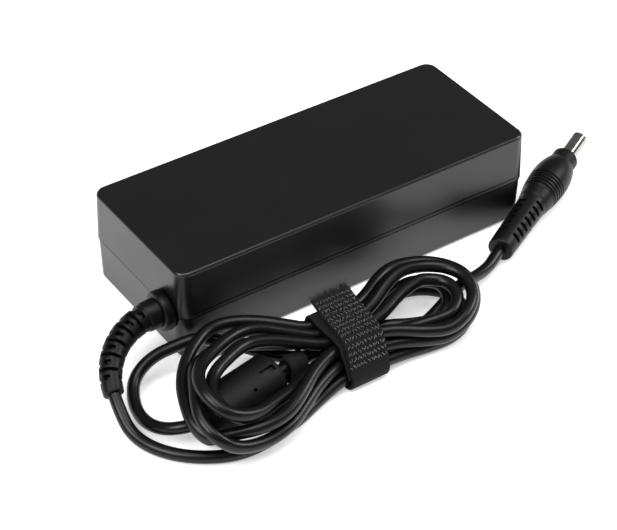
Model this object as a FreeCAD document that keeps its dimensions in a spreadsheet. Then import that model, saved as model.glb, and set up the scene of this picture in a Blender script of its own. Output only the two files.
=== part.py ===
import FreeCAD, Part
import math
import os

import Sketcher
from FreeCAD import Placement, Rotation, Vector

# A laptop power adapter: a two-shell brick with its mains inlet on one short end, the board that
# works inside it, and the low-voltage lead that leaves the other end, wound in a hank in front of
# the brick and tied with a hook-and-loop tie. Millimetres. The origin is under the middle of the
# brick, +X points to the inlet end, -Y to the long side where the hank lies, +Z up.

doc = FreeCAD.newDocument("LaptopPowerAdapter")
sheet = doc.addObject("Spreadsheet::Sheet", "Sizes")

DRIVING_SIZES = [
    # Casing
    ("brick_length", 130.0, "overall length of the brick"),
    ("brick_width", 52.5, "overall width of the brick"),
    ("brick_height", 32.7, "overall height of the brick"),
    ("seam_height", 16.0, "height of the parting line"),
    ("wall", 2.0, "wall of both shells"),
    ("corner_radius", 4.5, "upright corners, seen from above"),
    ("top_edge_radius", 1.1, "edge round the top face"),
    ("bottom_edge_radius", 1.6, "edge round the bottom face"),
    ("draft_angle", 1.8, "taper of both shells away from the parting line, in degrees"),
    ("rim_step", 0.3, "how far the lower shell stands back under the upper one"),
    ("groove_depth", 0.45, "shadow groove at the parting line"),
    ("groove_height", 0.4, "height of that groove"),
    ("band_height", 1.4, "from the parting line to the fine line on the long sides"),
    ("band_line", 0.35, "width and depth of that fine line"),
    ("tongue_height", 1.5, "tongue of the lower shell inside the upper one"),
    ("tongue_wall", 0.8, "thickness of that tongue"),
    ("tongue_root", 3.0, "how far the tongue reaches down inside the lower shell"),
    ("fit_gap", 0.15, "clearance between pieces that slip together"),
    # Board and the sheets round it
    ("spreader_thickness", 0.8, "aluminium heat spreaders"),
    ("spreader_flange", 8.0, "folded sides of the heat spreaders"),
    ("sheet_thickness", 0.4, "insulation sheet"),
    ("sheet_rise", 15.0, "folded sides of the insulation sheet"),
    ("board_clearance", 2.5, "solder side to the insulation sheet"),
    ("board_thickness", 1.6, "circuit board"),
    ("board_length", 114.0, "circuit board"),
    ("board_width", 45.2, "circuit board"),
    ("board_end_gap", 3.0, "board to the inlet end wall"),
    ("post_radius", 2.0, "posts that clamp the board"),
    ("post_spacing_x", 98.0, "post to post, lengthways"),
    ("post_spacing_y", 40.4, "post to post, across"),
    # Mains inlet
    ("inlet_width", 27.8, "moulded inlet body"),
    ("inlet_height", 20.0, "moulded inlet body"),
    ("inlet_depth", 24.0, "moulded inlet body"),
    ("inlet_flange", 1.5, "flange of the inlet behind the end walls: its depth and its overhang"),
    ("inlet_standback", 0.5, "mouth of the inlet behind the end of the brick"),
    ("recess_width", 24.6, "recess for the mains connector"),
    ("recess_height", 16.8, "recess for the mains connector"),
    ("recess_depth", 17.0, "recess for the mains connector"),
    ("recess_chamfer", 4.6, "sloped upper corners of the recess"),
    ("blade_height", 4.0, "contact blade"),
    ("blade_thickness", 2.0, "contact blade"),
    ("blade_setback", 2.5, "blade tip behind the mouth of the recess"),
    ("blade_spacing", 14.0, "line to neutral"),
    ("earth_rise", 4.0, "earth blade above the other two"),
    # Gland where the lead leaves
    ("gland_y", -17.7, "gland off the middle of the end face"),
    ("gland_neck_radius", 4.2, "neck that passes the wall"),
    ("gland_collar_length", 2.0, "collar inside the wall"),
    ("gland_collar_rim", 1.0, "collar beyond the neck"),
    ("gland_flange_radius", 6.4, "flange outside the wall"),
    ("gland_flange_length", 3.2, "flange outside the wall"),
    ("gland_sleeve_radius", 4.5, "plain sleeve past the flange"),
    ("gland_sleeve_length", 4.4, "plain sleeve past the flange"),
    ("boot_start_radius", 3.6, "slotted boot at the sleeve"),
    ("boot_end_radius", 3.0, "slotted boot where the cord leaves"),
    ("boot_bend_radius", 23.4, "centre line of the slotted boot"),
    ("boot_bend_angle", 78.0, "how far the slotted boot turns, in degrees"),
    ("boot_droop_angle", 23.0, "tilt of that bend towards the surface, in degrees"),
    ("boot_core_radius", 2.4, "solid core between the slots"),
    ("boot_slot_width", 1.0, "slots across the boot"),
    ("boot_slot_start", 2.6, "first slot along the bend"),
    ("boot_slot_pitch", 2.1, "slot to slot, each turned a quarter from the last"),
    ("boot_slot_count", 13, "slots along the boot"),
    # Cord
    ("cord_diameter", 3.9, "round two-core cord"),
    ("cord_gap", 0.6, "air between neighbouring cords in the tie"),
    ("tie_x", -24.4, "middle of the tie along the brick"),
    ("tie_y", -61.5, "front cord of the lowest row in the tie"),
    ("tie_width", 13.3, "hook-and-loop tie"),
    ("tie_thickness", 1.1, "one layer of the tie"),
    ("tie_gap", 0.25, "tie to the cords that it holds"),
    # Ferrite
    ("ferrite_x", -64.6, "middle of the ferrite"),
    ("ferrite_y", -54.9, "middle of the ferrite"),
    ("ferrite_heading", 10.8, "turn of the ferrite from the brick's length, in degrees"),
    ("ferrite_radius", 7.6, "outside of the moulded cover"),
    ("ferrite_length", 28.8, "moulded cover"),
    ("ferrite_cover_wall", 1.2, "moulded cover"),
    ("ferrite_edge", 1.3, "rounded ends of the cover"),
    ("ferrite_slot_length", 5.6, "locating slot in the cover"),
    ("ferrite_slot_width", 2.0, "locating slot in the cover"),
    ("ferrite_pin_radius", 0.6, "locating pin holes in the cover"),
    # Plug
    ("plug_x", 44.15, "where the cord enters the plug"),
    ("plug_y", -40.3, "where the cord enters the plug"),
    ("plug_z", 4.45, "where the cord enters the plug"),
    ("plug_heading", 26.6, "direction of the plug, in degrees"),
    ("plug_pitch", 3.7, "the plug rests on its belly and its tail, in degrees"),
    ("plug_tail_radius", 4.25, "tail of the plug's boot"),
    ("plug_waist_radius", 4.75, "front end of the slotted part"),
    ("plug_belly_radius", 6.5, "widest part of the handle"),
    ("plug_nose_radius", 4.9, "front edge of the handle"),
    ("plug_boot_length", 24.5, "slotted part of the handle"),
    ("plug_belly_position", 34.0, "widest part, from the tail"),
    ("plug_handle_length", 47.0, "tail to the front of the handle"),
    ("plug_slot_width", 1.05, "slots of the plug's boot"),
    ("plug_slot_pitch", 2.9, "slot to slot"),
    ("plug_slot_start", 7.0, "first slot from the tail"),
    ("plug_slot_count", 7, "slots on each side"),
    ("plug_ring_start", 35.4, "first grip ring from the tail"),
    ("plug_ring_pitch", 1.8, "ring to ring"),
    ("plug_ring_depth", 0.45, "grip rings"),
    ("plug_ring_count", 4, "grip rings"),
    ("collar_radius", 4.4, "collar between handle and barrel"),
    ("collar_length", 5.2, "collar between handle and barrel"),
    ("spigot_radius", 3.2, "collar's spigot inside the handle"),
    ("spigot_length", 5.0, "collar's spigot inside the handle"),
    ("barrel_radius", 2.75, "plated barrel"),
    ("barrel_length", 11.0, "plated barrel, free length"),
    ("barrel_wall", 0.4, "plated barrel"),
    ("barrel_lip", 0.14, "rolled lip at the mouth of the barrel"),
    ("contact_radius", 1.25, "bore of the centre contact"),
    ("contact_wall", 0.3, "centre contact"),
    # Parts on the board
    ("sink_thickness", 2.0, "aluminium heat sinks"),
    ("sink_height", 20.0, "aluminium heat sinks"),
    ("sink_foot", 5.0, "foot of each heat sink"),
    ("primary_sink_length", 30.0, "heat sink at the mains side"),
    ("primary_sink_x", 13.0, "its middle"),
    ("secondary_sink_length", 26.0, "heat sink at the output side"),
    ("secondary_sink_x", -33.0, "its middle"),
    ("package_width", 10.2, "three-leg power package"),
    ("package_height", 15.6, "three-leg power package with its tab"),
    ("package_thickness", 4.5, "three-leg power package"),
    ("tab_thickness", 1.3, "metal tab of that package"),
    ("lead_thickness", 0.8, "legs of the parts on the board"),
    ("transformer_length", 24.0, "transformer core, lengthways"),
    ("transformer_width", 26.0, "transformer core, across"),
    ("transformer_height", 19.5, "board to the top of the winding"),
    ("transformer_x", -22.0, "middle of the transformer"),
    ("core_thickness", 9.2, "transformer core"),
    ("core_back", 4.6, "ends of the core that join its legs"),
    ("core_side_leg", 2.6, "side legs of the core"),
    ("core_centre_leg", 9.6, "middle leg of the core"),
    ("bobbin_wall", 0.8, "tube and flanges of the bobbin"),
    ("winding_side_gap", 0.6, "winding to the side legs"),
    ("bulk_radius", 9.0, "mains capacitor"),
    ("bulk_length", 27.0, "mains capacitor"),
    ("bulk_x", 5.5, "its middle"),
    ("bulk_y", -12.4, "its middle"),
    ("choke_x", 25.0, "middle of the line choke"),
    ("choke_y", -10.5, "middle of the line choke"),
    ("choke_outer_radius", 7.8, "ring core of the line choke"),
    ("choke_inner_radius", 4.4, "ring core of the line choke"),
    ("choke_thickness", 6.0, "ring core of the line choke"),
    ("winding_depth", 1.3, "wire on the ring core"),
    ("filter_x", 34.6, "middle of the line filter parts"),
    ("disc_radius", 4.6, "thermistor and surge disc"),
    ("disc_thickness", 3.8, "thermistor and surge disc"),
    ("output_can_radius", 4.8, "output capacitors"),
    ("output_can_height", 17.0, "output capacitors"),
    ("output_x", -43.0, "middle of the output parts"),
    ("wire_radius", 0.85, "insulated output wires"),
]

for line, (alias, number, meaning) in enumerate(DRIVING_SIZES, start=1):
    sheet.set(f"A{line}", alias)
    sheet.set(f"B{line}", str(number))
    sheet.set(f"C{line}", meaning)
    sheet.setAlias(f"B{line}", alias)
doc.recompute()


class Size:
    """A number that remembers the spreadsheet rule it comes from, so that both stay together."""

    def __init__(self, number, rule):
        self.number = float(number)
        self.rule = rule

    def __float__(self):
        return self.number

    def __add__(self, other):
        other = as_size(other)
        return Size(self.number + other.number, f"({self.rule} + {other.rule})")

    def __sub__(self, other):
        other = as_size(other)
        return Size(self.number - other.number, f"({self.rule} - {other.rule})")

    def __mul__(self, other):
        other = as_size(other)
        return Size(self.number * other.number, f"({self.rule} * {other.rule})")

    def __truediv__(self, other):
        other = as_size(other)
        return Size(self.number / other.number, f"({self.rule} / {other.rule})")

    def __radd__(self, other):
        return as_size(other) + self

    def __rsub__(self, other):
        return as_size(other) - self

    def __rmul__(self, other):
        return as_size(other) * self

    def __neg__(self):
        return Size(-self.number, f"(0 - {self.rule})")


def as_size(value):
    return value if isinstance(value, Size) else Size(value, repr(float(value)))


class Named:
    """The driving sizes by name, such as D.wall."""


D = Named()
for alias, number, meaning in DRIVING_SIZES:
    setattr(D, alias, Size(sheet.get(alias), f"Sizes.{alias}"))

ZERO = as_size(0)
FINISHED = []


def place(target, x=0, y=0, z=0, yaw=0, pitch=0, roll=0):
    """Put an object where the named sizes say; the angles are in degrees."""
    base = "; ".join(as_size(value).rule for value in (x, y, z))
    turn = "; ".join(as_size(value).rule for value in (yaw, pitch, roll))
    target.setExpression("Placement", f"placement(vector({base}); rotation({turn}))")


def bind(target, **rules):
    for name, value in rules.items():
        target.setExpression(name, as_size(value).rule)


def block(name, size, at, **turn):
    """A box, centred on `at` in x and y, standing on `at` in z."""
    box = doc.addObject("Part::Box", name)
    bind(box, Length=size[0], Width=size[1], Height=size[2])
    place(box, at[0] - as_size(size[0]) / 2, at[1] - as_size(size[1]) / 2, at[2], **turn)
    return box


def rod(name, radius, length, at, **turn):
    """A cylinder that starts at `at` and runs along its own z axis."""
    cylinder = doc.addObject("Part::Cylinder", name)
    bind(cylinder, Radius=radius, Height=length)
    place(cylinder, *at, **turn)
    return cylinder


def join(name, shapes):
    fused = doc.addObject("Part::MultiFuse", name)
    fused.Shapes = shapes
    return fused


def group(name, shapes):
    loose = doc.addObject("Part::Compound", name)
    loose.Links = shapes
    return loose


def cut(name, base, tool):
    result = doc.addObject("Part::Cut", name)
    result.Base = base
    result.Tool = tool
    return result


def finished(target):
    """Mark an object as one of the pieces that are handed over."""
    target.Label = target.Name
    FINISHED.append(target)
    return target


def new_body(name):
    return doc.addObject("PartDesign::Body", name)


def sketch_on(body, role, offset=0):
    sketch = body.newObject("Sketcher::SketchObject", f"{body.Name}_profile")
    plane = next(item for item in body.Origin.OriginFeatures if item.Role == role)
    sketch.AttachmentSupport = [(plane, "")]
    sketch.MapMode = "FlatFace"
    sketch.setExpression("AttachmentOffset.Base.z", as_size(offset).rule)
    return sketch


def pin_point(sketch, index, x, y):
    """Hold the start of an edge at a distance from the sketch's origin."""
    for kind, value in (("DistanceX", as_size(x)), ("DistanceY", as_size(y))):
        row = sketch.addConstraint(Sketcher.Constraint(kind, -1, 1, index, 1, value.number))
        sketch.setExpression(f"Constraints[{row}]", value.rule)


def outline(sketch, points):
    """A closed outline of straight edges, each corner held by the named sizes."""
    corners = [Vector(float(x), float(y), 0) for x, y in points]
    first = sketch.GeometryCount
    count = len(corners)
    for k in range(count):
        sketch.addGeometry(Part.LineSegment(corners[k], corners[(k + 1) % count]), False)
    for k in range(count):
        after = first + (k + 1) % count
        sketch.addConstraint(Sketcher.Constraint("Coincident", first + k, 2, after, 1))
    for k, (x, y) in enumerate(points):
        pin_point(sketch, first + k, x, y)


def rectangle(sketch, width, height, x=0, y=0):
    half_w = as_size(width) / 2
    half_h = as_size(height) / 2
    outline(sketch, ((x - half_w, y - half_h), (x + half_w, y - half_h),
                     (x + half_w, y + half_h), (x - half_w, y + half_h)))


def circle(sketch, radius, x=0, y=0):
    centre = Vector(float(x), float(y), 0)
    index = sketch.addGeometry(Part.Circle(centre, Vector(0, 0, 1), float(radius)), False)
    for kind, value in (("DistanceX", as_size(x)), ("DistanceY", as_size(y))):
        row = sketch.addConstraint(Sketcher.Constraint(kind, -1, 1, index, 3, value.number))
        sketch.setExpression(f"Constraints[{row}]", value.rule)
    row = sketch.addConstraint(Sketcher.Constraint("Radius", index, float(radius)))
    sketch.setExpression(f"Constraints[{row}]", as_size(radius).rule)


def rounded_rectangle(sketch, length, width, radius):
    """A rectangle about the sketch's origin with four equal tangent corners."""
    r = float(radius)
    half_x = float(length) / 2 - r
    half_y = float(width) / 2 - r
    first = sketch.GeometryCount
    centres = ((half_x, half_y), (-half_x, half_y), (-half_x, -half_y), (half_x, -half_y))
    for k, (x, y) in enumerate(centres):
        corner = Part.Circle(Vector(x, y, 0), Vector(0, 0, 1), r)
        start = math.radians(90 * k)
        sketch.addGeometry(Part.ArcOfCircle(corner, start, start + math.pi / 2), False)
    for k in range(4):
        start = sketch.Geometry[first + k].EndPoint
        end = sketch.Geometry[first + (k + 1) % 4].StartPoint
        sketch.addGeometry(Part.LineSegment(start, end), False)
    for k in range(4):
        arc = first + k
        side = first + 4 + k
        after = first + (k + 1) % 4
        sketch.addConstraint(Sketcher.Constraint("Tangent", arc, 2, side, 1))
        sketch.addConstraint(Sketcher.Constraint("Tangent", side, 2, after, 1))
        sketch.addConstraint(Sketcher.Constraint("Horizontal" if k % 2 == 0 else "Vertical", side))
    for k in range(1, 4):
        sketch.addConstraint(Sketcher.Constraint("Equal", first, first + k))
    sketch.addConstraint(Sketcher.Constraint("Symmetric", first, 3, first + 2, 3, -1, 1))
    rules = ((Sketcher.Constraint("Radius", first, r), radius),
             (Sketcher.Constraint("DistanceX", first + 5, 1, first + 7, 1, float(length)), length),
             (Sketcher.Constraint("DistanceY", first + 6, 1, first + 4, 1, float(width)), width))
    for constraint, value in rules:
        row = sketch.addConstraint(constraint)
        sketch.setExpression(f"Constraints[{row}]", as_size(value).rule)


def pad(body, sketch, length, reverse=False, midplane=False, taper=None):
    feature = body.newObject("PartDesign::Pad", f"{body.Name}_pad")
    feature.Profile = sketch
    feature.Reversed = reverse
    feature.Midplane = midplane
    bind(feature, Length=length)
    if taper is not None:
        bind(feature, TaperAngle=-as_size(taper))
    body.Tip = feature
    sketch.Visibility = False
    return feature


def pocket(body, sketch, length, reverse=False, midplane=False, taper=None):
    """Take material away; without `reverse` it cuts against the sketch's normal."""
    doc.recompute()
    before = body.Shape.Volume
    feature = body.newObject("PartDesign::Pocket", f"{body.Name}_pocket")
    feature.Profile = sketch
    feature.Reversed = reverse
    feature.Midplane = midplane
    bind(feature, Length=length)
    if taper is not None:
        bind(feature, TaperAngle=-as_size(taper))
    body.Tip = feature
    doc.recompute()
    if not body.Shape.Volume < before - 1e-6:
        raise ValueError(f"{feature.Label} took nothing away")
    return feature


def repeat(body, feature, sketch, axis, pitch, count):
    """Repeat a feature along one of its sketch's axes."""
    pattern = body.newObject("PartDesign::LinearPattern", f"{body.Name}_pattern")
    pattern.Originals = [feature]
    pattern.Direction = (sketch, [axis])
    bind(pattern, Length=pitch * (as_size(count) - 1), Occurrences=count)
    body.Tip = pattern
    doc.recompute()
    return pattern


def turned(name, profile):
    """A piece turned round its own x axis from a profile of (x, radius) corners."""
    body = new_body(name)
    sketch = sketch_on(body, "XY_Plane")
    outline(sketch, profile)
    doc.recompute()
    feature = body.newObject("PartDesign::Revolution", f"{name}_turn")
    feature.Profile = sketch
    feature.ReferenceAxis = (sketch, ["H_Axis"])
    feature.Angle = 360
    body.Tip = feature
    doc.recompute()
    return body


def round_edges(body, radius, wanted):
    """Round the edges whose middle point passes the test."""
    doc.recompute()
    base = body.Tip
    names = []
    for number, edge in enumerate(base.Shape.Edges, start=1):
        middle = edge.valueAt((edge.FirstParameter + edge.LastParameter) / 2)
        if wanted(middle):
            names.append(f"Edge{number}")
    feature = body.newObject("PartDesign::Fillet", f"{body.Name}_edges")
    feature.Base = (base, names)
    bind(feature, Radius=radius)
    body.Tip = feature
    doc.recompute()
    return feature


# Levels and places that follow from the sizes.
half_length = D.brick_length / 2
half_width = D.brick_width / 2
spreader_top = D.wall + D.spreader_thickness
sheet_top = spreader_top + D.sheet_thickness
board_bottom = sheet_top + D.board_clearance
board_top = board_bottom + D.board_thickness
board_x = half_length - D.wall - D.board_end_gap - D.board_length / 2
ceiling = D.brick_height - D.wall
tongue_inset = D.wall + D.fit_gap
post_places = [(D.post_spacing_x * sx / 2, D.post_spacing_y * sy / 2)
               for sx in (-1, 1) for sy in (-1, 1)]
inlet_front = half_length - D.inlet_standback
inlet_back = inlet_front - D.inlet_depth
inlet_centre_z = board_top + D.inlet_height / 2
inlet_flange_front = half_length - D.rim_step - D.wall - 0.5
gland_collar_radius = D.gland_neck_radius + D.gland_collar_rim
gland_collar_x = D.wall + D.rim_step + 0.5
shell_groove_radius = D.corner_radius - D.rim_step - D.groove_depth
lower_length = D.brick_length - D.rim_step * 2
lower_width = D.brick_width - D.rim_step * 2


def open_ends(body, gland_radius, inlet_slack):
    """The gland's hole and the inlet's window, cut through both end walls of a piece."""
    hole = sketch_on(body, "YZ_Plane", 2 - half_length + D.wall)
    circle(hole, gland_radius, D.gland_y, D.seam_height)
    pocket(body, hole, D.wall + 2.5)
    window = sketch_on(body, "YZ_Plane", half_length - D.wall - 2)
    rectangle(window, D.inlet_width + inlet_slack * 2, D.inlet_height + inlet_slack * 2,
              0, inlet_centre_z)
    pocket(body, window, D.wall + 2.5, reverse=True)


# Upper shell
upper = new_body("upper_shell")
profile = sketch_on(upper, "XY_Plane", D.seam_height)
rounded_rectangle(profile, D.brick_length, D.brick_width, D.corner_radius)
pad(upper, profile, D.brick_height - D.seam_height, taper=D.draft_angle)
round_edges(upper, D.top_edge_radius, lambda p: p.z > D.brick_height.number - 0.01)
cavity = sketch_on(upper, "XY_Plane", D.seam_height)
rounded_rectangle(cavity, D.brick_length - D.wall * 2, D.brick_width - D.wall * 2,
                  D.corner_radius - D.wall)
pocket(upper, cavity, ceiling - D.seam_height, reverse=True, taper=D.draft_angle)
fine_line = sketch_on(upper, "YZ_Plane")
for side in (-1, 1):
    rectangle(fine_line, D.band_line * 2, D.band_line, half_width * side,
              D.seam_height + D.band_height)
pocket(upper, fine_line, D.brick_length - D.corner_radius * 2, midplane=True)
open_ends(upper, D.gland_neck_radius + D.fit_gap, D.fit_gap)
posts = sketch_on(upper, "XY_Plane", board_top + D.fit_gap)
for x, y in post_places:
    circle(posts, D.post_radius, x, y)
pad(upper, posts, ceiling - board_top - D.fit_gap + 0.5)
finished(upper)

# Lower shell
lower = new_body("lower_tray")
profile = sketch_on(lower, "XY_Plane", D.seam_height)
rounded_rectangle(profile, lower_length, lower_width, D.corner_radius - D.rim_step)
pad(lower, profile, D.seam_height, reverse=True, taper=D.draft_angle)
round_edges(lower, D.bottom_edge_radius, lambda p: p.z < 0.01)
cavity = sketch_on(lower, "XY_Plane", D.seam_height)
rounded_rectangle(cavity, lower_length - D.wall * 2, lower_width - D.wall * 2,
                  D.corner_radius - D.rim_step - D.wall)
pocket(lower, cavity, D.seam_height - D.wall, taper=D.draft_angle)
groove = sketch_on(lower, "XY_Plane", D.seam_height)
rounded_rectangle(groove, D.brick_length + 2, D.brick_width + 2, D.corner_radius + 1)
rounded_rectangle(groove, lower_length - D.groove_depth * 2, lower_width - D.groove_depth * 2,
                  shell_groove_radius)
pocket(lower, groove, D.groove_height)
open_ends(lower, D.gland_neck_radius + D.fit_gap, D.fit_gap)
posts = sketch_on(lower, "XY_Plane", D.wall - 0.5)
for x, y in post_places:
    circle(posts, D.post_radius, x, y)
pad(lower, posts, board_bottom - D.wall + 0.5)
tongue = new_body("lower_tongue")
ring = sketch_on(tongue, "XY_Plane", D.seam_height - D.tongue_root)
for inset in (tongue_inset, tongue_inset + D.tongue_wall):
    rounded_rectangle(ring, D.brick_length - inset * 2, D.brick_width - inset * 2,
                      D.corner_radius - inset + 0.4)
pad(tongue, ring, D.tongue_root + D.tongue_height)
open_ends(tongue, gland_collar_radius + D.fit_gap, D.inlet_flange + D.fit_gap * 2)
finished(join("lower_shell", [lower, tongue]))


def folded_sheet(name, level, half_span, thickness, rise, length, upward):
    """A thin sheet with both long sides folded, upward or downward."""
    body = new_body(name)
    sketch = sketch_on(body, "YZ_Plane")
    up = 1 if upward else -1
    inner = level + thickness * up
    tip = level + rise * up
    outline(sketch, ((-half_span, level), (half_span, level), (half_span, tip),
                     (half_span - thickness, tip), (half_span - thickness, inner),
                     (thickness - half_span, inner), (thickness - half_span, tip),
                     (-half_span, tip)))
    doc.recompute()
    pad(body, sketch, length, midplane=True)
    return body


# Sheets round the board
sheet_span = half_width - tongue_inset - D.tongue_wall - D.fit_gap
liner = folded_sheet("insulation_sheet", spreader_top, sheet_span, D.sheet_thickness,
                     D.sheet_rise, D.board_length, True)
doc.recompute()
holes = sketch_on(liner, "XY_Plane", sheet_top + 1)
for x, y in post_places:
    circle(holes, D.post_radius + D.fit_gap * 2, x - board_x, y)
pocket(liner, holes, D.sheet_thickness + 2)
place(liner, board_x)
finished(liner)

spreader_length = D.post_spacing_x - D.post_radius * 2 - 1
finished(block("lower_heat_spreader", (spreader_length, sheet_span * 2 - 2, D.spreader_thickness),
               (0, 0, D.wall)))
spreader_span = half_width - D.wall - (ceiling - D.seam_height) * 0.032 - D.fit_gap * 2
finished(folded_sheet("upper_heat_spreader", ceiling, spreader_span, D.spreader_thickness,
                      D.spreader_flange, spreader_length, False))

# Circuit board
board = new_body("circuit_board")
profile = sketch_on(board, "XY_Plane", board_bottom)
rectangle(profile, D.board_length, D.board_width, board_x, 0)
pad(board, profile, D.board_thickness)
finished(board)

# Mains inlet: a moulded body with a recess, and three contact blades
inlet = new_body("ac_inlet_body")
profile = sketch_on(inlet, "YZ_Plane", inlet_back)
rectangle(profile, D.inlet_width, D.inlet_height, 0, inlet_centre_z)
pad(inlet, profile, D.inlet_depth)
flange = sketch_on(inlet, "YZ_Plane", inlet_flange_front)
rectangle(flange, D.inlet_width + D.inlet_flange * 2, D.inlet_height + D.inlet_flange * 2,
          0, inlet_centre_z)
pad(inlet, flange, D.inlet_flange, reverse=True)
recess = sketch_on(inlet, "YZ_Plane", inlet_front)
half_w = D.recess_width / 2
half_h = D.recess_height / 2
outline(recess, ((-half_w, inlet_centre_z - half_h), (half_w, inlet_centre_z - half_h),
                 (half_w, inlet_centre_z + half_h - D.recess_chamfer),
                 (half_w - D.recess_chamfer, inlet_centre_z + half_h),
                 (D.recess_chamfer - half_w, inlet_centre_z + half_h),
                 (-half_w, inlet_centre_z + half_h - D.recess_chamfer)))
doc.recompute()
pocket(inlet, recess, D.recess_depth)
blade_places = [(-D.blade_spacing / 2, inlet_centre_z - D.earth_rise / 2),
                (ZERO, inlet_centre_z + D.earth_rise / 2),
                (D.blade_spacing / 2, inlet_centre_z - D.earth_rise / 2)]
slots = sketch_on(inlet, "YZ_Plane", inlet_back + D.inlet_depth - D.recess_depth + 1)
for y, z in blade_places:
    rectangle(slots, D.blade_thickness + D.fit_gap * 2, D.blade_height + D.fit_gap * 2, y, z)
pocket(inlet, slots, D.inlet_depth - D.recess_depth + 2)
finished(inlet)

blade_tail = as_size(2)
blades = []
for k, (y, z) in enumerate(blade_places):
    length = D.inlet_depth - D.blade_setback + blade_tail
    centre_x = inlet_back - blade_tail + length / 2
    foot = z - D.blade_height / 2
    blades.append(block(f"blade_{k}", (length, D.blade_thickness, D.blade_height),
                        (centre_x, y, foot)))
    blades.append(block(f"blade_leg_{k}", (D.lead_thickness, D.blade_thickness, foot - board_top),
                        (inlet_back - blade_tail + D.lead_thickness / 2, y, board_top)))
finished(join("inlet_pins", blades))


def package(name, x, y, facing):
    """A three-leg power package with its metal tab, lying flat against a heat sink."""
    body_height = D.package_height * 0.6
    raised = board_top + 3
    body_y = y - facing * D.package_thickness / 2
    tab_y = y - facing * D.tab_thickness / 2
    pieces = [block(f"{name}_body", (D.package_width, D.package_thickness, body_height),
                    (x, body_y, raised)),
              block(f"{name}_tab", (D.package_width, D.tab_thickness, D.package_height - body_height),
                    (x, tab_y, raised + body_height))]
    for k in (-1, 0, 1):
        pieces.append(block(f"{name}_leg_{k + 1}", (D.lead_thickness, D.lead_thickness, 3),
                            (x + D.package_width * k / 4, body_y, board_top)))
    hole = rod(f"{name}_hole", 1.6, D.package_thickness * 3,
               (x, y - facing * D.package_thickness * 1.5, raised + D.package_height * 0.8),
               roll=-90 * facing)
    return cut(name, join(f"{name}_solid", pieces), hole)


def heat_sink(name, x, length, y, side):
    """An upright aluminium plate with a foot on the board."""
    plate = block(f"{name}_plate", (length, D.sink_thickness, D.sink_height), (x, y, board_top))
    foot_y = y - side * (D.sink_foot - D.sink_thickness) / 2
    foot = block(f"{name}_foot", (length / 5, D.sink_foot, D.sink_thickness / 2),
                 (x, foot_y, board_top))
    return join(name, [plate, foot])


# Power parts on their heat sinks
sink_y = D.board_width / 2 - 1.2 - D.sink_thickness / 2
sink_face = sink_y - D.sink_thickness / 2
screw_z = board_top + 3 + D.package_height * 0.8
switch_x = D.primary_sink_x - 7
rectifier_x = D.secondary_sink_x - 7
primary = heat_sink("primary_sink_blank", D.primary_sink_x, D.primary_sink_length, sink_y, 1)
secondary = heat_sink("secondary_sink_blank", D.secondary_sink_x, D.secondary_sink_length,
                      -sink_y, -1)
primary_hole = rod("primary_sink_hole", 1.6, 10, (switch_x, sink_y - 5, screw_z), roll=-90)
secondary_hole = rod("secondary_sink_hole", 1.6, 10, (rectifier_x, -sink_y + 5, screw_z), roll=90)
finished(cut("primary_heat_sink", primary, primary_hole))
finished(cut("secondary_heat_sink", secondary, secondary_hole))
finished(package("switching_transistor", switch_x, sink_face, 1))
finished(package("output_rectifier", rectifier_x, -sink_face, -1))


def screw(name, x, face, side):
    """A pan-head screw through a package's tab and the sink, its head on the tab."""
    shank = rod(f"{name}_shank", 1.45, D.tab_thickness + D.sink_thickness,
                (x, face - side * D.tab_thickness, screw_z), roll=-90 * side)
    head = rod(f"{name}_head", 2.8, 1.8, (x, face - side * D.tab_thickness, screw_z),
               roll=90 * side)
    return join(name, [shank, head])


finished(group("heat_sink_screws", [screw("primary_screw", switch_x, sink_face, 1),
                                    screw("secondary_screw", rectifier_x, -sink_face, -1)]))

bridge_x = D.primary_sink_x + 9
bridge_legs = [block(f"bridge_leg_{k}", (D.lead_thickness, D.lead_thickness, 3),
                     (bridge_x + k * 3.2, sink_face - 1.75, board_top)) for k in (-1, 0, 1)]
bridge_body = block("bridge_body", (13, 3.5, 11), (bridge_x, sink_face - 1.75, board_top + 3))
finished(join("bridge_rectifier", bridge_legs + [bridge_body]))

# Line filter
finished(rod("fuse", 1.9, 11, (D.filter_x - 4.6, -18.6, board_top + 1.9), pitch=90))
finished(block("x_capacitor", (6.2, 18, 14), (D.filter_x, 3, board_top)))
for name, y in (("thermistor", 17.2), ("varistor", -11.4)):
    disc = rod(f"{name}_disc", D.disc_radius, D.disc_thickness,
               (D.filter_x - D.disc_thickness / 2, y, board_top + D.disc_radius + 1.5), pitch=90)
    legs = [rod(f"{name}_leg_{k + 1}", D.lead_thickness / 2, 4,
                (D.filter_x, y + k * 2.5, board_top)) for k in (-1, 1)]
    finished(join(name, [disc] + legs))

choke_z = board_top + D.choke_outer_radius + D.winding_depth + 0.2
choke = new_body("choke_core")
profile = sketch_on(choke, "YZ_Plane")
circle(profile, D.choke_outer_radius)
circle(profile, D.choke_inner_radius)
pad(choke, profile, D.choke_thickness, midplane=True)
place(choke, D.choke_x, D.choke_y, choke_z)
finished(choke)


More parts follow.
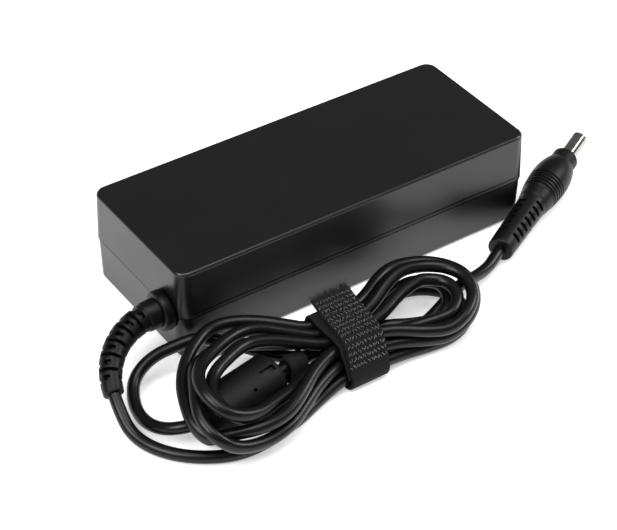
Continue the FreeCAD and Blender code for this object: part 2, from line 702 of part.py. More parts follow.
def half_winding(name, side):
    """Wire wound over one half of the ring core, as one sleeve with the core's shape left out."""
    body = new_body(name)
    sketch = sketch_on(body, "YZ_Plane")
    outer = float(D.choke_outer_radius + D.winding_depth)
    inner = float(D.choke_inner_radius - D.winding_depth)
    span = math.radians(62)
    middle = 0 if side > 0 else math.pi
    up = Vector(0, 0, 1)
    for radius in (outer, inner):
        ring = Part.Circle(Vector(0, 0, 0), up, radius)
        sketch.addGeometry(Part.ArcOfCircle(ring, middle - span, middle + span), False)
    for end in ("StartPoint", "EndPoint"):
        near = getattr(sketch.Geometry[1], end)
        far = getattr(sketch.Geometry[0], end)
        sketch.addGeometry(Part.LineSegment(near, far), False)
    for arc, radius in ((0, D.choke_outer_radius + D.winding_depth),
                        (1, D.choke_inner_radius - D.winding_depth)):
        sketch.addConstraint(Sketcher.Constraint("Coincident", arc, 3, -1, 1))
        row = sketch.addConstraint(Sketcher.Constraint("Radius", arc, float(radius)))
        sketch.setExpression(f"Constraints[{row}]", radius.rule)
    for line, place_id in ((2, 1), (3, 2)):
        sketch.addConstraint(Sketcher.Constraint("Coincident", line, 1, 1, place_id))
        sketch.addConstraint(Sketcher.Constraint("Coincident", line, 2, 0, place_id))
    pad(body, sketch, D.choke_thickness + D.winding_depth * 2, midplane=True)
    place(body, D.choke_x, D.choke_y, choke_z)
    return body


windings = join("choke_sleeves", [half_winding("choke_coil_a", 1), half_winding("choke_coil_b", -1)])
finished(cut("choke_windings", windings, choke))

bulk_z = board_top + D.bulk_radius
bulk_profile = ((0, ZERO), (D.bulk_length, ZERO), (D.bulk_length, D.bulk_radius),
                (2.4, D.bulk_radius), (1.8, D.bulk_radius - 0.5), (1.2, D.bulk_radius), (0, D.bulk_radius))
bulk = turned("bulk_capacitor", bulk_profile)
place(bulk, D.bulk_x - D.bulk_length / 2, D.bulk_y, bulk_z)
finished(bulk)

# Transformer: a core with three legs, its bobbin and the winding round the middle leg
winding_top = board_top + D.transformer_height
winding_height = as_size(17.3)
leg_z = winding_top - winding_height / 2
window_length = D.transformer_length - D.core_back * 2
window_width = (D.transformer_width - D.core_centre_leg) / 2 - D.core_side_leg
window_y = D.core_centre_leg / 2 + window_width / 2
core_bottom = leg_z - D.core_thickness / 2
core = new_body("transformer_core")
profile = sketch_on(core, "XY_Plane", core_bottom)
rectangle(profile, D.transformer_length, D.transformer_width, D.transformer_x, 0)
rectangle(profile, window_length, window_width, D.transformer_x, window_y)
rectangle(profile, window_length, window_width, D.transformer_x, -window_y)
pad(core, profile, D.core_thickness)
finished(core)

tube_width = D.core_centre_leg + (D.bobbin_wall + D.fit_gap) * 2
tube_height = D.core_thickness + (D.bobbin_wall + D.fit_gap) * 2
winding_width = D.core_centre_leg + (window_width - D.winding_side_gap) * 2
winding_length = window_length - (D.bobbin_wall + D.fit_gap) * 2


def ring_between(name, x, length, outer, inner, z):
    """A rectangular sleeve round the middle leg."""
    body = new_body(name)
    sketch = sketch_on(body, "YZ_Plane", x - length / 2)
    rectangle(sketch, outer[0], outer[1], 0, z)
    rectangle(sketch, inner[0], inner[1], 0, z)
    doc.recompute()
    pad(body, sketch, length)
    return body


leg_hole = (D.core_centre_leg + D.fit_gap * 2, D.core_thickness + D.fit_gap * 2)
bobbin = [ring_between("bobbin_tube", D.transformer_x, winding_length + D.bobbin_wall,
                       (tube_width, tube_height), leg_hole, leg_z)]
for k, side in enumerate((-1, 1)):
    flange_x = D.transformer_x + side * (winding_length / 2 + D.bobbin_wall / 2)
    bobbin.append(ring_between(f"bobbin_flange_{k}", flange_x, D.bobbin_wall,
                               (winding_width, winding_height), leg_hole, leg_z))
    foot_x = D.transformer_x + side * (winding_length / 2 + D.core_back / 2 + D.bobbin_wall / 2)
    bobbin.append(block(f"bobbin_foot_{k}",
                        (D.core_back + D.bobbin_wall, winding_width, core_bottom - board_top),
                        (foot_x, 0, board_top)))
finished(join("transformer_bobbin", bobbin))
finished(ring_between("transformer_winding", D.transformer_x, winding_length,
                      (winding_width, winding_height), (tube_width, tube_height), leg_z))
spreader_bottom = ceiling - D.spreader_thickness
finished(block("thermal_pad", (winding_length, winding_width, spreader_bottom - winding_top),
               (D.transformer_x, 0, winding_top)))

# Smaller parts on the board
finished(block("optocoupler", (4.6, 6.5, 3.5), (D.transformer_x, 17.6, board_top)))
safety_x = D.transformer_x + 10
safety_disc = rod("safety_disc", 3.6, 3, (safety_x - 1.5, 17.6, board_top + 5), pitch=90)
safety_legs = [rod(f"safety_leg_{k + 1}", D.lead_thickness / 2, 4,
                   (safety_x, 17.6 + k * 2, board_top)) for k in (-1, 1)]
finished(join("safety_capacitor", [safety_disc] + safety_legs))
chip_x, chip_y, chip_pitch = 5, 8.5, 1.27
chip = block("chip_body", (4.9, 3.9, 1.5), (chip_x, chip_y, board_top + 0.2))
chip_legs = [block(f"chip_leg_{i}_{k + 1}", (0.5, 1.2, 0.7),
                   (chip_x + (i - 1.5) * chip_pitch, chip_y + k * 2.4, board_top))
             for i in range(4) for k in (-1, 1)]
finished(join("controller_chip", [chip] + chip_legs))
finished(group("small_parts", [rod(f"resistor_{k}", 1.1, 6.5, (-6.5 + k * 4.2, -2.2, board_top + 1.1),
                                   roll=-90) for k in range(5)]))

can_profile = ((0, ZERO), (D.output_can_height, ZERO), (D.output_can_height, D.output_can_radius),
               (3, D.output_can_radius), (2.4, D.output_can_radius - 0.4),
               (1.8, D.output_can_radius), (0, D.output_can_radius))
cans = []
for k, y in enumerate((-7, 4)):
    can = turned(f"output_can_{k}", can_profile)
    place(can, D.output_x, y, board_top, pitch=-90)
    cans.append(can)
finished(group("output_capacitors", cans))
finished(rod("output_choke", 4, 12, (D.output_x, 15, board_top)))


def vector(*values):
    return Vector(*[float(value) for value in values])


def disc(centre, direction, radius):
    return Part.Wire([Part.makeCircle(float(radius), centre, direction)])


def smooth_path(name, points, largest=1e9):
    """Straight runs joined by tangent arcs, as one wire; prints the arcs' radii."""
    corners = [Vector(p) for p in points]
    edges = []
    radii = []
    start = corners[0]
    for k in range(1, len(corners) - 1):
        before = corners[k] - corners[k - 1]
        after = corners[k + 1] - corners[k]
        half_turn = before.getAngle(after) / 2
        cut_back = 0.45 * min(before.Length, after.Length)
        cut_back = min(cut_back, largest * math.tan(half_turn))
        radius = cut_back / math.tan(half_turn)
        before.normalize()
        after.normalize()
        begin = corners[k] - before * cut_back
        end = corners[k] + after * cut_back
        inward = (after - before).normalize()
        middle = corners[k] + inward * (radius / math.cos(half_turn) - radius)
        edges.append(Part.LineSegment(start, begin).toShape())
        edges.append(Part.Arc(begin, middle, end).toShape())
        radii.append(round(radius, 1))
        start = end
    edges.append(Part.LineSegment(start, corners[-1]).toShape())
    print(name, "radii", radii, "smallest", min(radii))
    return Part.Wire(edges)


def tube(name, path, radius, stations=()):
    """A round solid along a path; `stations` may give other radii at its far end."""
    first = path.Edges[0]
    start = first.valueAt(first.FirstParameter)
    direction = first.tangentAt(first.FirstParameter)
    shell = Part.BRepOffsetAPI.MakePipeShell(path)
    shell.add(disc(start, direction, radius))
    for far_radius in stations:
        last = path.Edges[-1]
        shell.add(disc(last.valueAt(last.LastParameter), last.tangentAt(last.LastParameter),
                       far_radius))
    shell.build()
    shell.makeSolid()
    solid = shell.shape()
    mean = (float(radius) + float(stations[-1] if stations else radius)) / 2
    print(name, "length", round(path.Length, 1), "volume", round(solid.Volume, 1),
          "expected", round(math.pi * mean ** 2 * path.Length, 1))
    return solid


def freeform(name, shape):
    feature = doc.addObject("Part::Feature", name)
    feature.Shape = shape
    return feature


cord_radius = D.cord_diameter / 2
collar_face_x = gland_collar_x + D.gland_collar_length - half_length

# Two insulated wires from the board up into the gland
wires = []
for side in (-1.3, 1.3):
    wire_y = D.gland_y + side
    bend = [vector(collar_face_x + 7.5, wire_y, board_top),
            vector(collar_face_x + 7.5, wire_y, D.seam_height),
            vector(collar_face_x, wire_y, D.seam_height)]
    wires.append(tube("output wire", smooth_path("output wire", bend, 3), D.wire_radius))
finished(freeform("output_wires", Part.makeCompound(wires)))

# Gland: a turned fitting held in the wall, and a slotted boot that bends down to the surface
neck_start = -gland_collar_x
flange_start = D.fit_gap / 3
flange_end = flange_start + D.gland_flange_length
sleeve_end = flange_end + D.gland_sleeve_length
fitting = turned("gland_fitting", (
    (neck_start - D.gland_collar_length, ZERO), (sleeve_end, ZERO),
    (sleeve_end, D.gland_sleeve_radius - 0.4), (sleeve_end - 0.4, D.gland_sleeve_radius),
    (flange_end, D.gland_sleeve_radius), (flange_end, D.gland_flange_radius - 0.7),
    (flange_end - 0.7, D.gland_flange_radius), (flange_start + 0.4, D.gland_flange_radius),
    (flange_start, D.gland_flange_radius - 0.4), (flange_start, D.gland_neck_radius),
    (neck_start, D.gland_neck_radius), (neck_start, gland_collar_radius),
    (neck_start - D.gland_collar_length, gland_collar_radius)))
place(fitting, -half_length, D.gland_y, D.seam_height, yaw=180)

boot_start = vector(flange_end * -1 - half_length - 1.8, D.gland_y, D.seam_height)
boot_out = Vector(-1, 0, 0)
droop = math.radians(float(D.boot_droop_angle))
boot_turn = math.radians(float(D.boot_bend_angle))
boot_bend = float(D.boot_bend_radius)
boot_inward = Vector(0, -math.cos(droop), -math.sin(droop))
boot_across = boot_out.cross(boot_inward)


def boot_at(angle):
    """Centre line of the boot and its direction after turning by an angle."""
    point = (boot_start + boot_inward * (boot_bend * (1 - math.cos(angle)))
             + boot_out * (boot_bend * math.sin(angle)))
    return point, boot_out * math.cos(angle) + boot_inward * math.sin(angle)


cord_start, cord_direction = boot_at(boot_turn)
boot_path = Part.Wire([Part.Arc(boot_start, boot_at(boot_turn / 2)[0], cord_start).toShape()])
boot = tube("boot", boot_path, D.boot_start_radius, (D.boot_end_radius,))
slot_half = float(D.boot_slot_width) / 2
slot_reach = float(D.boot_start_radius) + 2
slot_boxes = []
for k in range(int(float(D.boot_slot_count))):
    travel = float(D.boot_slot_start) + k * float(D.boot_slot_pitch)
    middle, along = boot_at(travel / boot_bend)
    outward = boot_across if k % 2 == 0 else along.cross(boot_across)
    sideways = along.cross(outward)
    for side in (-1, 1):
        root = middle + outward * (side * float(D.boot_core_radius))
        corners = [root + along * a + sideways * b for a, b in (
            (-slot_half, -slot_reach), (slot_half, -slot_reach),
            (slot_half, slot_reach), (-slot_half, slot_reach))]
        face = Part.Face(Part.makePolygon(corners + corners[:1]))
        slot_boxes.append(face.extrude(outward * (side * slot_reach)))
boot_piece = freeform("gland_boot", boot.cut(slot_boxes))
finished(join("cord_gland", [fitting, boot_piece]))

# Ferrite: a ring core in a moulded cover, threaded on the first loop of the hank
ferrite_turn = dict(yaw=D.ferrite_heading)
ferrite_bore = cord_radius + D.fit_gap
cover_end = D.ferrite_length / 2
cavity_outer = D.ferrite_radius - D.ferrite_cover_wall
cavity_inner = ferrite_bore + D.ferrite_cover_wall
cavity_end = cover_end - D.ferrite_cover_wall
core_ring = new_body("ferrite_core")
profile = sketch_on(core_ring, "YZ_Plane")
circle(profile, cavity_outer - D.fit_gap)
circle(profile, cavity_inner + D.fit_gap)
pad(core_ring, profile, (cavity_end - D.fit_gap) * 2, midplane=True)
place(core_ring, D.ferrite_x, D.ferrite_y, D.ferrite_radius, yaw=D.ferrite_heading)
finished(core_ring)
cover_body = turned("cover_body", (
    (-cover_end, ferrite_bore), (cover_end, ferrite_bore),
    (cover_end, D.ferrite_radius - D.ferrite_edge),
    (cover_end - D.ferrite_edge * 0.3, D.ferrite_radius - D.ferrite_edge * 0.3),
    (cover_end - D.ferrite_edge, D.ferrite_radius), (D.ferrite_edge - cover_end, D.ferrite_radius),
    (D.ferrite_edge * 0.3 - cover_end, D.ferrite_radius - D.ferrite_edge * 0.3),
    (-cover_end, D.ferrite_radius - D.ferrite_edge)))
cavity = turned("cover_cavity", ((-cavity_end, cavity_inner), (cavity_end, cavity_inner),
                                 (cavity_end, cavity_outer), (-cavity_end, cavity_outer)))
slot_lean = 24
slot_side = D.ferrite_slot_width / 2
slot = block("cover_slot", (D.ferrite_slot_length, D.ferrite_slot_width, D.ferrite_radius),
             (ZERO, ZERO, ZERO))
place(slot, cover_end - D.ferrite_slot_length - 1.8,
      slot_side * -math.cos(math.radians(slot_lean)),
      slot_side * -math.sin(math.radians(slot_lean)), roll=slot_lean)
marks = [cavity, slot]
for k, along in enumerate((3, -8.9)):
    marks.append(rod(f"cover_pin_hole_{k}", D.ferrite_pin_radius, D.ferrite_radius,
                     (along, 0, 0), roll=45))
keep_bore = rod("cover_sleeve", cavity_inner, D.ferrite_length, (-cover_end, 0, 0), pitch=90)
cover_marks = cut("cover_marks_clear", join("cover_marks", marks), keep_bore)
cover = cut("ferrite_cover", cover_body, cover_marks)
place(cover, D.ferrite_x, D.ferrite_y, D.ferrite_radius, yaw=D.ferrite_heading)
finished(cover)

# Plug: moulded handle, collar, plated barrel, and the contact in its insulator
plug_at = dict(x=D.plug_x, y=D.plug_y, z=D.plug_z, yaw=D.plug_heading, pitch=-D.plug_pitch)
handle_end = D.plug_handle_length
spigot_start = handle_end - D.spigot_length
collar_front = handle_end + D.collar_length
belly = [(D.plug_belly_position, D.plug_belly_radius),
         (D.plug_ring_start + 5.8, D.plug_belly_radius - 0.5),
         (handle_end - 2, D.plug_nose_radius + 0.45),
         (handle_end - 0.4, D.plug_nose_radius)]


def handle_radius(x):
    """Outside of the handle ahead of its widest part, at a distance from the tail."""
    for (x0, r0), (x1, r1) in zip(belly, belly[1:]):
        if float(x) <= float(x1):
            return r0 + (r1 - r0) * ((float(x) - float(x0)) / (float(x1) - float(x0)))
    return belly[-1][1]


rings = []
for k in range(int(float(D.plug_ring_count))):
    start = D.plug_ring_start + D.plug_ring_pitch * k
    for step, depth in ((0, 0), (0.2, 1), (0.6, 1), (0.8, 0)):
        rings.append((start + step, handle_radius(start + step) - D.plug_ring_depth * depth))
tail = D.plug_tail_radius
waist = D.plug_waist_radius
back = [(0, ZERO), (0, tail - 0.4), (0.4, tail), (5.2, tail), (5.6, tail + 0.15),
        (D.plug_boot_length, waist), (D.plug_boot_length + 1.2, waist + 0.2),
        (D.plug_boot_length + 3, waist + 0.75),
        (D.plug_boot_length + 6, D.plug_belly_radius - 0.3)]
front = [(handle_end, D.plug_nose_radius - 0.4), (handle_end, D.spigot_radius + D.fit_gap),
         (spigot_start - D.fit_gap, D.spigot_radius + D.fit_gap), (spigot_start - D.fit_gap, ZERO)]
handle = turned("plug_handle", back + belly[:1] + rings + belly[2:] + front)
slots = sketch_on(handle, "XY_Plane")
slot_depth = as_size(8)
for side in (-1, 1):
    rectangle(slots, D.plug_slot_width, slot_depth, D.plug_slot_start,
              (D.boot_core_radius + slot_depth / 2) * side)
first_slots = pocket(handle, slots, D.plug_belly_radius * 4, midplane=True)
repeat(handle, first_slots, slots, "H_Axis", D.plug_slot_pitch, D.plug_slot_count)
place(handle, **plug_at)
finished(handle)

socket_end = collar_front - 4
collar = turned("plug_collar", (
    (spigot_start, ZERO), (socket_end, ZERO), (socket_end, D.barrel_radius + D.fit_gap),
    (collar_front, D.barrel_radius + D.fit_gap), (collar_front, D.collar_radius - 0.9),
    (collar_front - 0.3, D.collar_radius - 0.4), (collar_front - 0.9, D.collar_radius),
    (handle_end + 0.1, D.collar_radius), (handle_end + 0.1, D.spigot_radius),
    (spigot_start, D.spigot_radius)))
place(collar, **plug_at)
finished(collar)

barrel_start = socket_end + D.fit_gap
barrel_end = collar_front + D.barrel_length
barrel_bore = D.barrel_radius - D.barrel_wall
barrel = turned("plug_barrel", (
    (barrel_start, barrel_bore), (barrel_end, barrel_bore), (barrel_end, D.barrel_radius),
    (barrel_end - 0.7, D.barrel_radius), (barrel_end - 0.8, D.barrel_radius - D.barrel_lip),
    (barrel_end - 1, D.barrel_radius - D.barrel_lip), (barrel_end - 1.1, D.barrel_radius),
    (barrel_start, D.barrel_radius)))
place(barrel, **plug_at)
finished(barrel)
contact_outer = D.contact_radius + D.contact_wall
insulator = turned("plug_insulator", (
    (barrel_start, contact_outer + D.fit_gap), (barrel_end - 0.9, contact_outer + D.fit_gap),
    (barrel_end - 0.9, barrel_bore - D.fit_gap), (barrel_start, barrel_bore - D.fit_gap)))
place(insulator, **plug_at)
finished(insulator)
contact = turned("plug_contact", (
    (barrel_start, D.contact_radius), (barrel_end - 0.6, D.contact_radius),
    (barrel_end - 0.6, contact_outer), (barrel_start, contact_outer)))
place(contact, **plug_at)
finished(contact)

# The hank: the cord's places in the tie, in three rows that lean like stacked rope
cord_pitch = D.cord_diameter + D.cord_gap
row_rise = cord_pitch * (math.sqrt(3) / 2)
lowest_row = cord_radius + D.tie_gap + D.tie_thickness


def tie_slot(row, column):
    """Centre of a cord in the tie, counted from the front of the lowest row."""
    y = D.tie_y + cord_pitch * (column + row / 2)
    return float(y), float(lowest_row + row_rise * row)


FRONT_SLOTS = [tie_slot(0, 0), tie_slot(1, 2), tie_slot(1, 0), tie_slot(2, 0), tie_slot(1, 1),
               tie_slot(0, 1)]
BACK_SLOTS = [None, tie_slot(0, 3), tie_slot(1, 3), tie_slot(2, 3), tie_slot(2, 2), tie_slot(2, 1)]
tie_reach = float(D.tie_width) / 2 + 0.55
stations = []


def station(x, y, z, dx, dy, dz=0):
    """A point that the cord passes, and the direction it has there."""
    stations.append((Vector(x, y, z), Vector(dx, dy, dz).normalize()))


def through_tie(slot_yz, heading):
    """Straight through the tie, towards +x or -x."""
    y, z = slot_yz
    for side in (-heading, heading):
        station(float(D.tie_x) + side * tie_reach, y, z, heading, 0)


def end_loop(tip, middle, half, depth, levels, back_half=None):
    """A half loop beyond the tie on the plug's side, at three heights: out, tip and back."""
    back_half = back_half or half
    out, top, home = levels
    shoulder = tip - depth
    k = math.sqrt(0.5)
    station(shoulder, middle - half, out, 1, 0)
    station(shoulder + depth * k, middle - half * k, out + (top - out) * 0.55,
            depth * k, half * k, (top - out) * 0.8)
    station(tip, middle, top, 0, half, (home - out) / 2)
    station(shoulder + depth * k, middle + back_half * k, top + (home - top) * 0.45,
            -depth * k, back_half * k, (home - top) * 0.8)
    station(shoulder, middle + back_half, home, -1, 0)


def guided(*places):
    for values in places:
        station(*values)


# Turn 1 lies on the surface; on its way back it swings out on its own and threads the ferrite.
guided((-50, -66.5, 1.95, 1, 0.2), (-41, -63.5, 2.3, 1, 0.28, 0.06))
through_tie(FRONT_SLOTS[0], 1)
end_loop(19.5, -50.2, 12.4, 14, (2, 2, 2))
through_tie(BACK_SLOTS[1], -1)
guided((-41, -43.4, 3.3, -1, 0.62, 0.1), (-50, -36.4, 6, -1, 0.75, 0.25),
       (-60, -30, 8.2, -1, 0.45, 0.05), (-72.5, -28.6, 7, -1, -0.25, -0.2),
       (-84.3, -37, 3.6, -0.55, -1, -0.25), (-87, -46, 2.4, 0.08, -1),
       (-86.2, -53.3, 4.2, 0.4, -1, 0.4))
heading = math.radians(float(D.ferrite_heading))
for side in (-1, 1):
    reach = side * (float(cover_end) + 1)
    station(float(D.ferrite_x) + reach * math.cos(heading),
            float(D.ferrite_y) + reach * math.sin(heading), float(D.ferrite_radius),
            math.cos(heading), math.sin(heading))
guided((-41, -51, 7.3, 1, 0.12, -0.01))
# Turn 2
through_tie(FRONT_SLOTS[1], 1)
end_loop(13.3, -49, 5.8, 8.5, (7, 9, 8.3))
through_tie(BACK_SLOTS[2], -1)
guided((-41, -42.2, 8.1, -1, 0.45, 0.22), (-50, -37.8, 10.5, -1, 0.45, 0.25),
       (-60, -34.2, 12.6, -1, 0.15, 0.1), (-74.5, -37.8, 13.6, -1, -0.75),
       (-83.5, -51, 13.6, -0.15, -1, -0.05), (-82.8, -61, 11.8, 0.3, -1, -0.35),
       (-78, -67.8, 8.6, 1, -0.8, -0.4), (-66, -70.2, 6.4, 1, 0.1, -0.02),
       (-50, -66.5, 6.4, 1, 0.34, 0.05), (-41, -63, 6.9, 1, 0.4, 0.02))
# Turn 3
through_tie(FRONT_SLOTS[2], 1)
end_loop(22.5, -50.2, 14.8, 17, (8, 11, 11.6))
through_tie(BACK_SLOTS[3], -1)
guided((-41, -41.3, 13.1, -1, 0.25, 0.3), (-50, -39.4, 15.3, -1, 0.15, 0.1),
       (-60, -38.8, 16.2, -1, 0, 0.1), (-73.6, -43.6, 17.4, -1, -0.9, 0.05),
       (-79.4, -55, 17.8, 0, -1, -0.08), (-77.8, -64.4, 15.4, 0.35, -1, -0.45),
       (-73, -70.6, 11.9, 1, -0.7, -0.4), (-65, -73.2, 10.4, 1, 0.08, -0.02),
       (-57, -70.6, 11, 1, 0.45, 0.12), (-50, -66.6, 12.4, 1, 0.6),
       (-41, -61.2, 12, 1, 0.48, -0.06))
# Turn 4 lies on top
through_tie(FRONT_SLOTS[3], 1)
end_loop(18.3, -53.8, 12.6, 15, (13.3, 14.6, 15.2), 12)
through_tie(BACK_SLOTS[4], -1)
guided((-41, -46.2, 13.3, -1, 0.15, 0.35), (-50, -45, 16.9, -1, 0.05, 0.35),
       (-60, -45.2, 19.6, -1, -0.1, 0.2), (-71, -50.6, 21.4, -0.9, -0.9, 0.05),
       (-75.4, -59, 20.8, 0, -1, -0.3), (-73.4, -66, 17.9, 0.6, -0.9, -0.6),
       (-65, -69, 14.3, 1, 0.2, -0.35), (-57, -65.2, 11, 1, 0.5, -0.4),
       (-50, -62.4, 9.8, 1, 0.46, -0.2), (-41, -57.6, 8, 1, 0.34, -0.1))
# Turn 5 is the inner one; it ends in the cord that runs to the plug
through_tie(FRONT_SLOTS[4], 1)
end_loop(12.6, -52.7, 7, 7.5, (11.4, 13.8, 13.8), 5.6)
through_tie(BACK_SLOTS[5], -1)
guided((-41, -51.4, 14.2, -1, 0.15, 0.5), (-50, -50, 17.4, -1, 0.1, 0.15),
       (-60, -49.8, 17.4, -1, -0.1), (-68.4, -51.6, 17.4, -1, -0.6),
       (-72.2, -57.6, 17.5, 0.05, -1, -0.15), (-69.8, -64.7, 13, 0.4, -0.8, -1),
       (-64, -64.9, 3.9, 1, 0.1, -0.55), (-50, -61.6, 2.1, 1, 0.3),
       (-41, -58.6, 2.6, 1, 0.24, 0.08))
through_tie(FRONT_SLOTS[5], 1)


def bulge(begin, direction, end):
    """Edge from begin to end that leaves along the direction: an arc, or a line if it is straight."""
    chord = end - begin
    half_turn = direction.getAngle(chord)
    if half_turn < 1e-4:
        return Part.LineSegment(begin, end).toShape(), 1e9
    along = Vector(chord).normalize()
    outward = (direction - along * direction.dot(along)).normalize()
    rise = chord.Length / 2 * math.tan(half_turn / 2)
    middle = begin + chord / 2 + outward * rise
    return Part.Arc(begin, middle, end).toShape(), chord.Length / 2 / math.sin(half_turn)


def two_arcs(begin, end):
    """The pair of arcs that joins two stations smoothly."""
    (p0, t0), (p1, t1) = begin, end
    span = p1 - p0
    both = t0 + t1
    spread = 2 * (1 - t0.dot(t1))
    if spread < 1e-9:
        reach = span.dot(span) / (4 * span.dot(t1))
    else:
        reach = (math.sqrt(span.dot(both) ** 2 + spread * span.dot(span)) - span.dot(both)) / spread
    joint = (p0 + p1 + (t0 - t1) * reach) / 2
    first, first_radius = bulge(p0, t0, joint)
    second, second_radius = bulge(p1, t1 * -1, joint)
    return [first, second], min(first_radius, second_radius)


hank_edges = []
hank_radii = []
for begin, end in zip(stations, stations[1:]):
    pair, radius = two_arcs(begin, end)
    hank_edges += pair
    hank_radii.append(radius)
hank_path = Part.Wire(Part.__sortEdges__(hank_edges))
print("hank smallest radius", round(min(hank_radii), 1), "edges", len(hank_path.Edges))

hank_points = []
hank_travel = []
travelled = 0
for edge in hank_path.Edges:
    pieces = max(2, int(edge.Length / 0.8))
    for point in edge.discretize(pieces + 1)[:-1]:
        if hank_points:
            travelled += (point - hank_points[-1]).Length
        hank_points.append(point)
        hank_travel.append(travelled)
least = 99
for i, point in enumerate(hank_points):
    for j in range(i + 1, len(hank_points)):
        if hank_travel[j] - hank_travel[i] < 14:
            continue
        other = hank_points[j]
        if abs(point.x - other.x) < 6 and abs(point.y - other.y) < 6:
            least = min(least, (point - other).Length)
print("hank least gap to itself", round(least - float(D.cord_diameter), 2))

hank = tube("cord_hank", hank_path, cord_radius)
finished(freeform("cord_hank", hank))

lead_end = stations[0][0]
lead_direction = stations[0][1]
lead_path = smooth_path("cord_lead_out", [
    cord_start, cord_start + cord_direction * 5, (-94.2, -46, 2.6), (-91.2, -55, 1.95),
    (-84, -63.5, 1.95), (-73.5, -69.4, 1.95), (-62.6, -69.6, 1.95),
    lead_end - lead_direction * 4.5, lead_end])
finished(freeform("cord_lead_out", tube("cord_lead_out", lead_path, cord_radius)))

plug_tail = vector(D.plug_x, D.plug_y, D.plug_z)
plug_turn = math.radians(float(D.plug_heading))
plug_lift = math.radians(float(D.plug_pitch))
plug_direction = Vector(math.cos(plug_turn) * math.cos(plug_lift),
                        math.sin(plug_turn) * math.cos(plug_lift), math.sin(plug_lift))
run_start = stations[-1][0]
run_path = smooth_path("cord_to_plug", [
    run_start, run_start + Vector(4.6, 0, 0), (-5, -56, 2.4), (2.5, -53.9, 1.95), (11.2, -51.3, 2.6),
    (20.6, -49.6, 7.7), (30.5, -46.3, 4.3), (37, -43.9, 3.5), plug_tail - plug_direction * 3.5, plug_tail])
finished(freeform("cord_to_plug", tube("cord_to_plug", run_path, cord_radius)))

# The tie: one layer all round, a second over the front and the top with a free end
tie_start = float(D.tie_x - D.tie_width / 2)
tie_corners = [Vector(tie_start, *tie_slot(row, column))
               for row, column in ((0, 0), (0, 3), (2, 3), (2, 0))]
tie_core = Part.makePolygon(tie_corners + tie_corners[:1])
tie_inside = float(cord_radius + D.tie_gap)
layer = float(D.tie_thickness)
tie_depth = Vector(float(D.tie_width), 0, 0)
around = [Part.Face(tie_core.makeOffset2D(tie_inside + layer * k)) for k in range(3)]
inner_layer = around[1].cut(around[0]).extrude(tie_depth)
outer_layer = around[2].cut(around[1]).extrude(tie_depth)
tie_top = tie_corners[2].z + tie_inside + layer
free_from = tie_corners[2].y - 0.5
covered = Part.makeBox(float(D.tie_width), 60, 40, Vector(tie_start, free_from - 60, 4))
end_length = 5.2
end_lift = 0.8
end_shape = [Vector(tie_start, free_from - 1, tie_top), Vector(tie_start, free_from, tie_top),
             Vector(tie_start, free_from + end_length, tie_top + end_lift),
             Vector(tie_start, free_from + end_length, tie_top + end_lift + layer),
             Vector(tie_start, free_from, tie_top + layer),
             Vector(tie_start, free_from - 1, tie_top + layer)]
free_end = Part.Face(Part.makePolygon(end_shape + end_shape[:1])).extrude(tie_depth)
tie = inner_layer.fuse([outer_layer.common(covered), free_end]).removeSplitter()
finished(freeform("cable_tie", tie))

# The tie's own small loop, that keeps it on the cord behind the ferrite
loop_half = float(cord_radius + D.tie_gap)
loop_centre = Vector(-45, -51.45, float(D.ferrite_radius) - 0.2)
loop_way = Vector(1, 0.11, 0).normalize()
loop_length = 6.5
across = Vector(0, 0, 1).cross(loop_way)


def flat_ring(half, drop):
    """Outline round the cord with a straight drop below it."""
    up = Vector(0, 0, 1)
    low = loop_centre - up * drop
    top_arc = Part.Arc(loop_centre + across * half, loop_centre + up * half,
                       loop_centre - across * half).toShape()
    low_arc = Part.Arc(low - across * half, low - up * half, low + across * half).toShape()
    sides = [Part.LineSegment(loop_centre - across * half, low - across * half).toShape(),
             Part.LineSegment(low + across * half, loop_centre + across * half).toShape()]
    return Part.Face(Part.Wire([top_arc, sides[0], low_arc, sides[1]]))


loop_drop = 2.7
ring_face = flat_ring(loop_half + layer, loop_drop).cut(flat_ring(loop_half, loop_drop))
finished(freeform("tie_holding_loop", ring_face.extrude(loop_way * loop_length)))

doc.recompute()
for item in doc.Objects:
    if any(word in ("Invalid", "Error") for word in item.State):
        raise ValueError(f"{item.Label} has the state {item.State}")
for item in FINISHED:
    if item.Shape.isNull() or not item.Shape.isValid():
        raise ValueError(f"{item.Label} has no valid shape")
print(len(FINISHED), "pieces")
os.makedirs("parts", exist_ok=True)
for item in FINISHED:
    item.Shape.exportStep(f"parts/{item.Label}.step")
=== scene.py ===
# %% [markdown]
# A laptop power adapter with its low-voltage lead wound in a hank. The hard pieces come from the
# CAD model in model.glb, which is imported unchanged, and this script gives them their finishes.
# What is soft on the real object is made here: the lead with its boot, the handle of its plug, and
# the hook-and-loop tie.

import math

import bmesh
import bpy
import numpy as np
from mathutils import Matrix


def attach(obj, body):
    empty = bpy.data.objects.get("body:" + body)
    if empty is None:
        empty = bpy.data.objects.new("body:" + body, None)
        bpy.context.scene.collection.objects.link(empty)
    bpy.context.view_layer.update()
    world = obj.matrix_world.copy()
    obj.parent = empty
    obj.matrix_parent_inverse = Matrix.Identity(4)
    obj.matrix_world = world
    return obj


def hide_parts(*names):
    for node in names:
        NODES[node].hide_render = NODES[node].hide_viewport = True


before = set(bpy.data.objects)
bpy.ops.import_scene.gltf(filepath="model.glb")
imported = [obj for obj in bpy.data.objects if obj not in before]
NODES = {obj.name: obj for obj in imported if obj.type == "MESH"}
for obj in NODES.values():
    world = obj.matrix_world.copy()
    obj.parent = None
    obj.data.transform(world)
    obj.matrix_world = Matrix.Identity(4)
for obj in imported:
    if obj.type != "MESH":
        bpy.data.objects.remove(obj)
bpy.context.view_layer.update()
print("CAD pieces:", len(NODES))

# %% [markdown]
# All sizes of the CAD model are millimetres, and Blender works in metres. The route of the lead
# is written in millimetres, as it is in the CAD source, and one factor turns it into metres.

